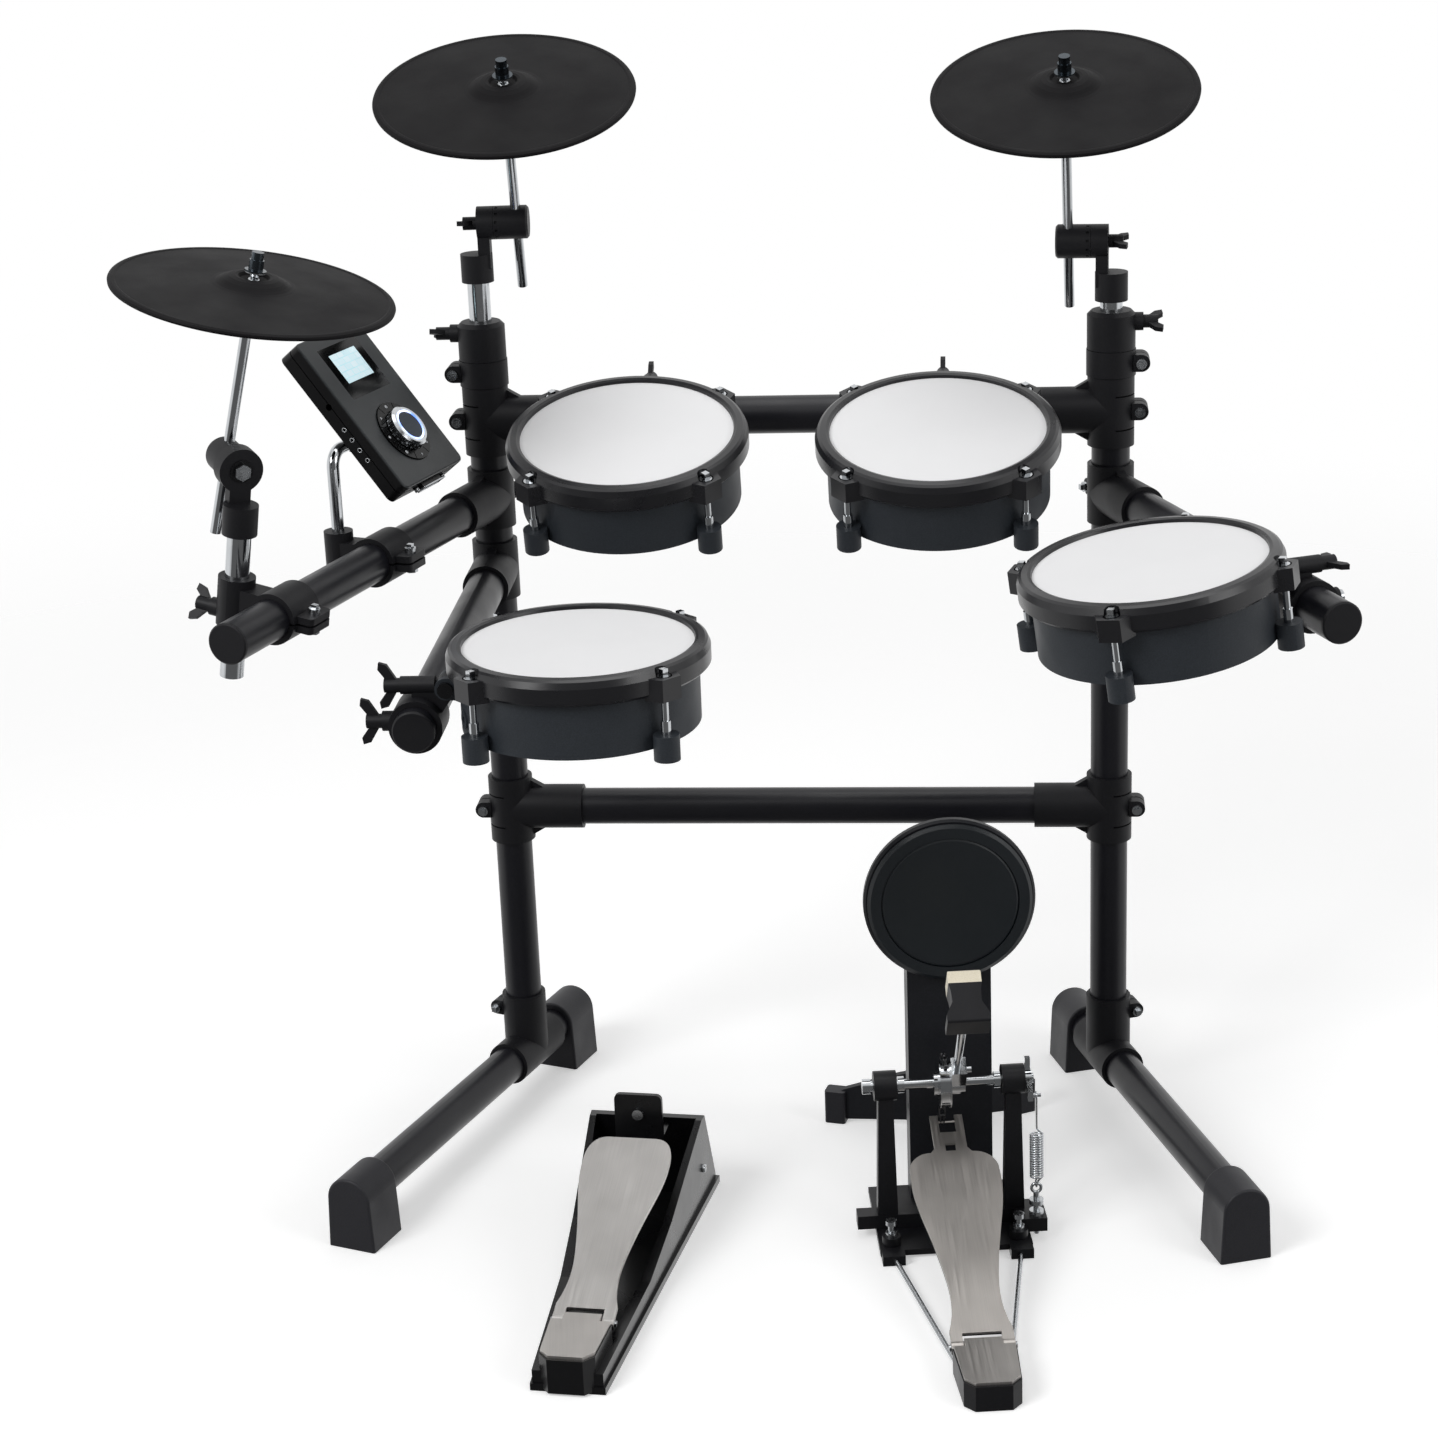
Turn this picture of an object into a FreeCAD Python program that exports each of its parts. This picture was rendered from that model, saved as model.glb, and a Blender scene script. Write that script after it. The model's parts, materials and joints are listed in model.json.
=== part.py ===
import FreeCAD, Part
import json
import math
import os

V = FreeCAD.Vector
os.makedirs("parts", exist_ok=True)

# Rack tubes and joints
tube_od = 38.0
tube_wall = 2.0
sleeve_wall = 4.2
slip_gap = 0.15
upright_spacing = 626.0
leg_height = 50.0
lower_cross_height = 331.0
upper_cross_height = 750.0
upright_rise = 80.0
tee_sleeve_length = 70.0
arm_tee_length = 60.0
tee_branch_length = 77.0
leg_splay = 18.9
leg_front = 378.0
leg_rear = 114.0
foot_width = 52.0
foot_length = 54.0
foot_height = 76.0

# Side arms: drop below the upper cross tube, angle outwards from straight ahead, length from the upright
module_arm_drop = 80.5
module_arm_angle = 17.3
module_arm_length = 513.0
snare_arm_drop = 156.0
snare_arm_angle = -1.2
snare_arm_length = 510.0
floor_arm_drop = 84.0
floor_arm_angle = 22.7
floor_arm_length = 480.0

# Drum pads
head_diameter = 203.0
shell_depth = 70.0
shell_wall = 4.0
hoop_height = 24.0
lug_count = 4
pad_hinge_drop = 36.0
tom_hinge_out = 58.0
tom_hinge_up = 22.0
side_hinge_out = 28.0
side_hinge_up = 33.0
tom_tilt = 15.0
snare_along_arm = 478.0
floor_along_arm = 410.0
floor_tilt = 7.6
floor_lug_turn = 4.0
jack_radius = 3.2
jack_depth = 14.0
jack_turn = 114.0
floor_jack_turn = 160.0

# Cymbal pads and their stands
cymbal_diameter = 254.0
post_diameter = 22.2
rod_diameter = 10.0
barrel_diameter = 33.0
barrel_start = 19.8
barrel_end = 54.0
rod_offset = 42.0
crash_tilt = 19.5
crash_1_barrel_rise = 118.0
crash_2_barrel_rise = 87.5
crash_1_rod_length = 146.0
crash_2_rod_length = 168.0
hihat_barrel_rise = 121.5
hihat_rod_length = 161.0
hihat_post_along_arm = 416.0
hihat_post_offset = 50.0
hihat_roll = 9.3
hihat_turn = 230.7
hihat_tilt = 5.8

# Sound module
module_length = 172.0
module_width = 118.0
module_thickness = 24.0
module_slope = 51.0
module_along_arm = 163.0
module_rise = 67.0
dial_diameter = 44.0
button_travel = 1.0

# Kick tower and pedal
kick_y = -302.0
kick_yaw = 8.0
axle_height = 160.0
axle_radius = 5.0
post_half_spacing = 62.0
kick_pad_radius = 83.0
kick_pad_height = 334.0
kick_pad_face = 29.6
tower_shift = 7.5
beater_rest_angle = 38.0
beater_reach = 174.0
beater_x = 6.0
chain_x = -4.0
sprocket_radius = 26.0
rocker_radius = 24.0
spring_turns = 18
spring_pitch = 2.6
spring_wire = 1.9
board_length = 298.0
board_angle = 16.5
board_thickness = 4.0
heel_height = 24.0

# Hi-hat pedal
hihat_x = -178.0
hihat_y = -540.0
hihat_yaw = -5.0
hihat_board_length = 250.0
hihat_board_angle = 15.5
hihat_heel_height = 36.0

# Sizes that follow from the ones above
upright_top = upper_cross_height + upright_rise
module_arm_height = upper_cross_height - module_arm_drop
snare_arm_height = upper_cross_height - snare_arm_drop
floor_arm_height = upper_cross_height - floor_arm_drop
tom_offset = 0.2348 * upright_spacing
kick_x = 0.2428 * upright_spacing
half = upright_spacing / 2.0
tube_r = tube_od / 2.0
bore_r = tube_r + slip_gap
sleeve_r = tube_r + sleeve_wall
nodes = {}
anchors = []


def add(name, *shapes):
    """Put solids into a named node."""
    for shape in shapes:
        nodes.setdefault(name, []).extend(shape.Solids)


def cyl(base, axis, radius, height):
    return Part.makeCylinder(radius, height, V(*base), V(*axis))


def ring(base, axis, outer, inner, height):
    return cyl(base, axis, outer, height).cut(cyl(base, axis, inner, height))


def block(x0, x1, y0, y1, z0, z1):
    return Part.makeBox(x1 - x0, y1 - y0, z1 - z0, V(x0, y0, z0))


def prism(points, direction):
    """Straight prism on a closed outline of points."""
    wire = Part.makePolygon([V(*p) for p in points] + [V(*points[0])])
    return Part.Face(wire).extrude(V(*direction))


def turned(points):
    """Solid of revolution about z from an outline in the xz plane."""
    wire = Part.makePolygon([V(r, 0, z) for r, z in points] + [V(points[0][0], 0, points[0][1])])
    return Part.Face(wire).revolve(V(0, 0, 0), V(0, 0, 1), 360)


def join(first, *rest):
    return first.fuse(list(rest)).removeSplitter()


def placed(shape, matrix):
    copy = shape.copy()
    copy.Placement = matrix.multiply(copy.Placement)
    return copy


def frame_of(position, x_axis, z_axis):
    """Placement with the given x and z directions."""
    z = V(*z_axis).normalize()
    x = V(*x_axis)
    x = (x - z * x.dot(z)).normalize()
    y = z.cross(x)
    m = FreeCAD.Matrix(x.x, y.x, z.x, 0, x.y, y.y, z.y, 0, x.z, y.z, z.z, 0, 0, 0, 0, 1)
    place = FreeCAD.Placement(m)
    place.Base = V(*position)
    return place


def yawed(x, y, z, degrees):
    return FreeCAD.Placement(V(x, y, z), FreeCAD.Rotation(V(0, 0, 1), degrees))


def softened(shape, radius, keep):
    """Round the edges picked by keep, or leave the shape as it is."""
    edges = [e for e in shape.Edges if keep(e)]
    try:
        result = shape.makeFillet(radius, edges)
    except Exception:
        return shape
    return result if result.isValid() and len(result.Solids) == 1 else shape


def anchor(name, place, point, axis):
    """Remember a pivot point and axis in the frame of the rack."""
    p = place.multVec(V(*point))
    a = place.Rotation.multVec(V(*axis))
    anchors.append((name, p, a))


def wing_bolt(shaft, span=17.0):
    """Wing bolt with its shaft along +z from zero and its wings below."""
    hub = 14.0
    body = cyl((0, 0, -hub), (0, 0, 1), 6.5, hub)
    wing = prism([(4, -2.4, -2), (span - 2, -2.4, -hub + 3), (span, -2.4, -hub - 4),
                  (span - 6, -2.4, -hub - 5), (4, -2.4, -hub + 3)], (0, 4.8, 0))
    other = wing.mirror(V(0, 0, 0), V(1, 0, 0))
    return join(body, wing, other, cyl((0, 0, 0), (0, 0, 1), 4.0, shaft))


def key_bolt(length):
    """Key screw along +y from its head, with a nut at the far end."""
    head = cyl((0, -4.5, 0), (0, 1, 0), 5.2, 4.5)
    drive = block(-2.6, 2.6, -8.0, -4.5, -2.6, 2.6)
    shaft = cyl((0, 0, 0), (0, 1, 0), 3.0, length + 5.0)
    corners = [math.radians(60 * k) for k in range(6)]
    nut = [(5.8 * math.cos(a), length, 5.8 * math.sin(a)) for a in corners]
    return join(head, drive, shaft, prism(nut, (0, 4.5, 0)))


def lug_cut(body, radius, height):
    """Add a split bolt lug at the -x side of a sleeve and open its slits."""
    lug = cyl((-radius - 5.0, -13, 0), (0, 1, 0), 8.5, 26)
    bridge = block(-radius - 5.0, -radius + 3.0, -13, 13, -8.5, 8.5)
    body = join(body, lug, bridge)
    body = body.cut(block(-radius - 20, -radius + 6.0, -1.0, 1.0, -height, height))
    for z in (-height, height):
        body = body.cut(block(-radius - 20, -4.0, -radius - 5, radius + 5, z - 0.8, z + 0.8))
    return body.cut(cyl((-radius - 5.0, -20, 0), (0, 1, 0), 3.1, 40))


def tee(length):
    """Tee joint: upright sleeve along z, branch sleeve along +x, bolt lug at -x."""
    tall = length / 2.0
    body = cyl((0, 0, -tall), (0, 0, 1), sleeve_r, 2 * tall)
    branch = cyl((0, 0, 0), (1, 0, 0), sleeve_r, tee_branch_length)
    web = [(sleeve_r - 6, -4.5, 8), (sleeve_r - 6, -4.5, tall - 1.5)]
    web += [(sleeve_r + 15, -4.5, sleeve_r - 2), (sleeve_r + 15, -4.5, 8)]
    upper = prism(web, (0, 9, 0))
    lower = upper.mirror(V(0, 0, 0), V(0, 0, 1))
    body = join(body, branch, upper, lower)
    body = body.cut(cyl((0, 0, -tall), (0, 0, 1), bore_r, 2 * tall))
    seat = tube_r + 5.0
    body = body.cut(cyl((seat, 0, 0), (1, 0, 0), bore_r, tee_branch_length))
    body = lug_cut(body, sleeve_r, 17.0)
    return body.cut(cyl((0, 0, -tall), (0, 0, 1), bore_r, 2 * tall))


def base_tee():
    """Foot tee: through sleeve along x for the leg, upright sleeve along +z."""
    top = tube_r + 48.0
    body = cyl((0, 0, 0), (0, 0, 1), sleeve_r, top)
    leg = cyl((-44, 0, 0), (1, 0, 0), sleeve_r, 88)
    body = join(body, leg)
    body = body.cut(cyl((-44, 0, 0), (1, 0, 0), bore_r, 88))
    body = body.cut(cyl((0, 0, tube_r + 3.0), (0, 0, 1), bore_r, top))
    lug = cyl((0, sleeve_r + 4.0, top - 18), (1, 0, 0), 8.0, 24)
    lug.translate(V(-12, 0, 0))
    bridge = block(-12, 12, sleeve_r - 3.0, sleeve_r + 4.0, top - 26, top - 10)
    body = join(body, lug, bridge)
    body = body.cut(cyl((0, 0, tube_r + 3.0), (0, 0, 1), bore_r, top))
    body = body.cut(block(-1.0, 1.0, tube_r - 2, sleeve_r + 16, top - 27, top + 1))
    return body.cut(cyl((-20, sleeve_r + 4.0, top - 18), (1, 0, 0), 3.1, 40))


def build_rack():
    """Uprights, cross tubes, legs, feet, tees and their bolts."""
    floor_gap = leg_height + tube_r + 3.5
    inner = tube_r - tube_wall
    cross = upright_spacing - 2 * (tube_r + 5.5)
    for side in (-1, 1):
        tall = upright_top - floor_gap
        add("uprights", ring((side * half, 0, floor_gap), (0, 0, 1), tube_r, inner, tall))
    for height in (lower_cross_height, upper_cross_height):
        add("cross_tubes", ring((-cross / 2, 0, height), (1, 0, 0), tube_r, inner, cross))
        for side in (-1, 1):
            place = yawed(side * half, 0, height, 0 if side < 0 else 180)
            add("rack_tees", placed(tee(tee_sleeve_length), place))
            bolt = key_bolt(26)
            bolt.translate(V(side * (half + sleeve_r + 5.0), -13, height))
            add("tee_bolts", bolt)
    for side in (-1, 1):
        angle = math.radians(leg_splay)
        ahead = V(side * math.sin(angle), -math.cos(angle), 0)
        place = frame_of((side * half, 0, leg_height), ahead, (0, 0, 1))
        length = leg_front + leg_rear - 16
        add("leg_tubes", placed(ring((8 - leg_rear, 0, 0), (1, 0, 0), tube_r, inner, length), place))
        joint = base_tee()
        screw = key_bolt(24)
        screw.rotate(V(0, 0, 0), V(0, 0, 1), 90)
        screw.translate(V(12, sleeve_r + 4.0, tube_r + 30.0))
        if side > 0:
            add("rack_tees", placed(joint, place))
            add("tee_bolts", placed(screw, place))
        else:
            mirrored = joint.mirror(V(0, 0, 0), V(0, 1, 0))
            add("rack_tees", placed(mirrored, place))
            add("tee_bolts", placed(screw.mirror(V(0, 0, 0), V(0, 1, 0)), place))
        for start in (leg_front - foot_length, -leg_rear):
            add("rubber_feet", placed(foot(start), place))


def foot(start):
    """Arched rubber block over one end of a leg tube, open towards the tube."""
    wide = foot_width / 2.0
    low = -leg_height
    crown = foot_height - leg_height
    side = wide - 2.5
    a = V(start, -wide, low)
    b = V(start, wide, low)
    c = V(start, side, 4)
    d = V(start, -side, 4)
    arch = Part.Arc(c, V(start, 0, crown), d).toShape()
    wire = Part.Wire([Part.makeLine(a, b), Part.makeLine(b, c), arch, Part.makeLine(d, a)])
    body = Part.Face(wire).extrude(V(foot_length, 0, 0))
    body = softened(body, 2.5, lambda e: e.Length < foot_length * 1.05 and abs(e.BoundBox.XLength) < 1e-3
                    and e.BoundBox.ZMax > low + 1)
    if start > 0:
        return body.cut(cyl((start - 1, 0, 0), (1, 0, 0), bore_r, foot_length - 7.0 + 0.1))
    return body.cut(cyl((start + 8.0 - 0.1, 0, 0), (1, 0, 0), bore_r, foot_length))


def arm_frame(side, height, angle):
    """Frame with +x along an arm from its upright."""
    a = math.radians(angle)
    return frame_of((side * half, 0, height), (side * math.sin(a), -math.cos(a), 0), (0, 0, 1))


module_arm = arm_frame(-1, module_arm_height, module_arm_angle)
snare_arm = arm_frame(-1, snare_arm_height, snare_arm_angle)
floor_arm = arm_frame(1, floor_arm_height, floor_arm_angle)


def build_arms():
    """Three side arms with tees, end caps and bolts."""
    inner = tube_r - tube_wall
    start = tube_r + 5.5
    for place, length in ((module_arm, module_arm_length), (snare_arm, snare_arm_length),
                          (floor_arm, floor_arm_length)):
        add("arm_tubes", placed(ring((start, 0, 0), (1, 0, 0), tube_r, inner, length - start - 3), place))
        cap = cyl((length - 3, 0, 0), (1, 0, 0), tube_r, 4.0)
        cap = cap.makeChamfer(1.4, [e for e in cap.Edges if e.BoundBox.XMin > length - 1])
        plug = cyl((length - 21, 0, 0), (1, 0, 0), inner - slip_gap, 18.0)
        add("tube_caps", placed(join(cap, plug), place))
        add("rack_tees", placed(tee(arm_tee_length), place))
        bolt = key_bolt(26)
        bolt.translate(V(-sleeve_r - 5.0, -13, 0))
        add("tee_bolts", placed(bolt, place))


def build_post_clamps():
    """Height collar and post clamp on top of each upright."""
    for side in (-1, 1):
        place = yawed(side * half, 0, upright_top, 0 if side < 0 else 180)
        clamp = cyl((0, 0, -18), (0, 0, 1), sleeve_r + 0.6, 38)
        clamp = clamp.makeChamfer(4.0, [e for e in clamp.Edges if e.BoundBox.ZMin > 19])
        boss = cyl((-sleeve_r - 8.0, 0, 8), (1, 0, 0), 9.0, sleeve_r)
        clamp = join(clamp, boss)
        clamp = clamp.cut(cyl((0, 0, -18), (0, 0, 1), bore_r, 18.2))
        clamp = clamp.cut(cyl((0, 0, 0), (0, 0, 1), post_diameter / 2 + slip_gap, 40))
        clamp = clamp.cut(cyl((-sleeve_r - 20, 0, 8), (1, 0, 0), 4.1, sleeve_r + 20 - post_diameter / 2))
        add("rack_clamps", placed(clamp, place))
        wing = wing_bolt(sleeve_r + 8.0 - post_diameter / 2 - 1.0)
        wing.rotate(V(0, 0, 0), V(0, 0, 1), 70)
        turn = FreeCAD.Placement(V(-sleeve_r - 8.3, 0, 8), FreeCAD.Rotation(V(0, 1, 0), 90))
        add("wing_bolts", placed(placed(wing, turn), place))
        collar = ring((0, 0, -13), (0, 0, 1), sleeve_r + 1.2, bore_r, 26)
        collar = lug_cut(collar, sleeve_r + 1.2, 40.0).cut(cyl((0, 0, -13), (0, 0, 1), bore_r, 26))
        low = yawed(side * half, 0, upright_top - 31.4, 0 if side < 0 else 180)
        add("rack_clamps", placed(collar, low))
        bolt = key_bolt(26)
        bolt.translate(V(side * (half + sleeve_r + 6.2), -13, upright_top - 31.4))
        add("tee_bolts", bolt)


def yoke_parts(ear_radius):
    """Yoke on a post top and its bolt, barrel axis along x at z = 0."""
    socket_r = post_diameter / 2.0 + 5.0
    socket = cyl((0, 0, -58), (0, 0, 1), socket_r, 28)
    ear = cyl((3.0, 0, 0), (1, 0, 0), ear_radius, barrel_start - 3.3)
    neck = block(3.0, 15.0, -10, 10, -44, 0)
    shoulder = block(-8.0, 15.0, -9, 9, -40, -30)
    yoke = join(socket, ear, neck, shoulder)
    yoke = yoke.cut(cyl((0, 0, -58), (0, 0, 1), post_diameter / 2 + slip_gap, 22))
    return yoke.cut(cyl((0, 0, 0), (1, 0, 0), 4.06, 30))


def yoke_bolt(winged):
    """Bolt through the yoke ear into the barrel: winged, or with a hexagon head."""
    reach = rod_offset - rod_diameter / 2.0 - 5.0 - 2.7
    if winged:
        bolt = wing_bolt(reach)
        bolt.rotate(V(0, 0, 0), V(0, 0, 1), 80)
    else:
        corners = [(8.0 * math.cos(math.radians(60 * k)), 8.0 * math.sin(math.radians(60 * k)), -5.0)
                   for k in range(6)]
        bolt = join(prism(corners, (0, 0, 5.0)), cyl((0, 0, 0), (0, 0, 1), 4.0, reach),
                    cyl((0, 0, -1.0), (0, 0, 1), 10.5, 1.0))
    return placed(bolt, FreeCAD.Placement(V(2.7, 0, 0), FreeCAD.Rotation(V(0, 1, 0), 90)))


def tilter_parts(tilt, up):
    """Barrel, rod and nut set for one stand; the rod leans by tilt towards -y."""
    r = barrel_diameter / 2.0
    barrel = cyl((barrel_start, 0, 0), (1, 0, 0), r, barrel_end - barrel_start)
    barrel = barrel.makeChamfer(2.0, [e for e in barrel.Edges if e.BoundBox.XMin > barrel_end - 1])
    for k in range(12):
        notch = block(barrel_start + 1.6, barrel_start + 4.4, -1.2, 1.2, r - 1.6, r + 3)
        notch.rotate(V(0, 0, 0), V(1, 0, 0), 30 * k)
        barrel = barrel.cut(notch)
    barrel = barrel.cut(cyl((10, 0, 0), (1, 0, 0), 4.06, rod_offset - rod_diameter / 2.0 - 14.7))
    barrel = barrel.cut(cyl((rod_offset, 0, -40), (0, 0, 1), rod_diameter / 2 + 0.05, 80))
    rod = cyl((rod_offset, 0, -72), (0, 0, 1), rod_diameter / 2, 72 + up - 18)
    rod = join(rod, cyl((rod_offset, 0, up - 18), (0, 0, 1), 3.5, 18 + 26))
    ball = Part.makeSphere(7.2, V(rod_offset, 0, up))
    seat = cyl((rod_offset, 0, up - 17.9), (0, 0, 1), 6.6, 10.5)
    seat = join(ball, seat).cut(cyl((rod_offset, 0, up - 30), (0, 0, 1), 3.55, 60))
    washer = Part.makeCone(4.6, 9.8, 3.6, V(rod_offset, 0, up + 7.4))
    washer = join(washer, cyl((rod_offset, 0, up + 11.0), (0, 0, 1), 9.8, 2.4))
    washer = washer.cut(cyl((rod_offset, 0, up), (0, 0, 1), 3.55, 40))
    nut = join(cyl((rod_offset, 0, up + 13.5), (0, 0, 1), 6.6, 9.0),
               cyl((rod_offset, 0, up + 22.5), (0, 0, 1), 5.4, 7.0))
    nut = nut.cut(cyl((rod_offset, 0, up), (0, 0, 1), 3.55, 26.2))
    lean = FreeCAD.Placement(V(0, 0, 0), FreeCAD.Rotation(V(1, 0, 0), tilt))
    return [placed(s, lean) for s in (barrel, rod, seat, washer, nut)], lean


def cymbal():
    """Cymbal pad about z with its ball seat at the origin."""
    r = cymbal_diameter / 2.0
    bell = [(4.5, 5.0), (12.2, 5.0), (14.2, 7.6), (17, 8.0), (22, 7.2), (27, 5.0), (31, 2.6), (34, 1.2),
            (38, 0.5)]
    top = bell + [(r * 0.62, -2.0), (r - 7, -5.2)]
    rim = [(r - 5.4, -4.6), (r - 3.0, -4.8), (r - 0.6, -6.0), (r, -7.4), (r - 0.4, -9.2), (r - 2.6, -10.0)]
    under = [(r - 9, -9.6), (r * 0.62, -6.8), (35, -4.6), (22, -5.0), (4.5, -5.0)]
    body = turned(top + rim + under)
    housing = block(-22, 22, -r * 0.62, -r * 0.26, -23.0, -4.0)
    housing = softened(housing, 5.0, lambda e: e.BoundBox.ZLength > 8)
    body = join(body, housing)
    body = body.cut(cyl((0, -r * 0.62 - 1, -16.0), (0, 1, 0), jack_radius, jack_depth + 1))
    return body.cut(Part.makeSphere(7.5, V(0, 0, 0)))


def build_stand(name, frame, post_low, rise, turn, tilt, up, lean_view, lean_right, winged):
    """One cymbal stand on a post along z of its frame: yoke, tilter, rod, nut and cymbal."""
    place = frame.multiply(yawed(0, 0, rise, turn))
    half_width = barrel_diameter * (0.5 if winged else 0.62)
    add("cymbal_yokes", placed(yoke_parts(half_width), place))
    add("wing_bolts" if winged else "tee_bolts", placed(yoke_bolt(winged), place))
    outer = post_diameter / 2.0
    post = ring((0, 0, post_low), (0, 0, 1), outer, outer - 1.6, rise - 36.2 - post_low)
    add("cymbal_posts", placed(post, frame))
    parts, lean = tilter_parts(tilt, up)
    add(name + "_tilter", placed(parts[0], place))
    add(name + "_rod", placed(parts[1], place))
    add(name + "_cymbal_nut", *[placed(s, place) for s in parts[2:]])
    centre = place.multiply(lean).multVec(V(rod_offset, 0, up))
    normal = (math.tan(math.radians(lean_right)), -math.tan(math.radians(lean_view)), 1.0)
    disc = frame_of((centre.x, centre.y, centre.z), (1, 0, 0), normal)
    add(name + "_cymbal", placed(cymbal(), disc))
    anchor(name + "_tilt", place, (rod_offset, 0, 0), (1, 0, 0))
    anchor(name + "_rock", disc, (0, 0, 0), (1, 0, 0))
    anchor(name + "_jack", disc, (0, -cymbal_diameter * 0.31 + jack_depth / 2, -16.0), (0, -1, 0))


hihat_clamp_frame = module_arm.multiply(FreeCAD.Placement(
    V(hihat_post_along_arm, 0, 0), FreeCAD.Rotation(V(1, 0, 0), -hihat_roll)))
hihat_post_frame = hihat_clamp_frame.multiply(yawed(0, -hihat_post_offset, 0, 0))


def build_stands():
    """Two crash stands on the uprights and the hi-hat stand on its arm."""
    low = upright_top + 0.6 - 60
    build_stand("crash_1", yawed(-half, 0, 0, 0), low, upright_top + crash_1_barrel_rise, 4.0, crash_tilt,
                crash_1_rod_length, crash_tilt, 1.5, True)
    build_stand("crash_2", yawed(half, 0, 0, 0), low, upright_top + crash_2_barrel_rise, 176.0, -crash_tilt,
                crash_2_rod_length, crash_tilt, -1.3, True)
    build_stand("hihat", hihat_post_frame, -74.0, hihat_barrel_rise, hihat_turn, hihat_tilt,
                hihat_rod_length, 3.9, 11.3, False)


def tube_clamp(width):
    """Split clamp round a tube along x, with its bolt lug at +y."""
    out = sleeve_r + 0.8
    body = ring((-width / 2, 0, 0), (1, 0, 0), out, bore_r, width)
    lug = block(-width / 2 + 5, width / 2 - 5, out - 3, out + 15, -7.5, 7.5)
    lug = softened(lug, 5.0, lambda e: e.BoundBox.ZLength > 10 and e.BoundBox.YMin > out)
    body = join(body, lug)
    body = body.cut(cyl((-width, 0, 0), (1, 0, 0), bore_r, 2 * width))
    body = body.cut(block(-width, width, tube_r - 2, out + 20, -1.0, 1.0))
    return body.cut(cyl((0, out + 7, -20), (0, 0, 1), 3.1, 40))


def clamp_bolt():
    """Key screw that closes a tube clamp, head up."""
    bolt = key_bolt(15)
    bolt.rotate(V(0, 0, 0), V(1, 0, 0), -90)
    bolt.translate(V(0, sleeve_r + 7.8, 7.5))
    return bolt


def hinge_pin():
    """Plain pin with two heads through a pad hinge along x."""
    return join(cyl((-18.6, 0, 0), (1, 0, 0), 4.0, 37.2), cyl((-18.6, 0, 0), (1, 0, 0), 7.0, 4.0),
                cyl((14.6, 0, 0), (1, 0, 0), 7.0, 4.0))


def pad_clamp(out, up):
    """Pad clamp on a tube along x; its hinge eye stands out towards -y and up."""
    outer = sleeve_r + 0.8
    body = ring((-20, 0, 0), (1, 0, 0), outer, bore_r, 40)
    length = math.hypot(out, up)
    side = (up / length, out / length)
    arm = [(-6, -out + 9 * side[0], up + 9 * side[1]), (-6, -out - 9 * side[0], up - 9 * side[1]),
           (-6, -13 * side[0], -13 * side[1]), (-6, 13 * side[0], 13 * side[1])]
    eye = cyl((-6, -out, up), (1, 0, 0), 10.0, 12)
    high = max(up, outer + 9.0)
    boss = cyl((0, -out + 11.0, high), (0, 1, 0), 8.0, out + 3.0)
    web = block(-6, 6, -out + 11.0, 4.0, min(up, 10.0), high)
    grip = cyl((0, tube_r, 0), (0, 1, 0), 9.0, sleeve_wall + 9.0)
    body = join(body, prism(arm, (12, 0, 0)), eye, boss, web, grip)
    body = body.cut(cyl((-30, 0, 0), (1, 0, 0), bore_r, 60))
    body = body.cut(cyl((0, -out + 14.0, high), (0, 1, 0), 4.1, out + 40))
    body = body.cut(cyl((0, 0, 0), (0, 1, 0), 4.1, 60))
    return body.cut(cyl((-20, -out, up), (1, 0, 0), 4.06, 40))


def side_wing(start, shaft, height, turn, span):
    """Wing bolt with its shaft towards -y and its wings turned about it."""
    wing = wing_bolt(shaft, span)
    wing.rotate(V(0, 0, 0), V(0, 0, 1), turn)
    return placed(wing, FreeCAD.Placement(V(0, start, height), FreeCAD.Rotation(V(1, 0, 0), 90)))


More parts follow.
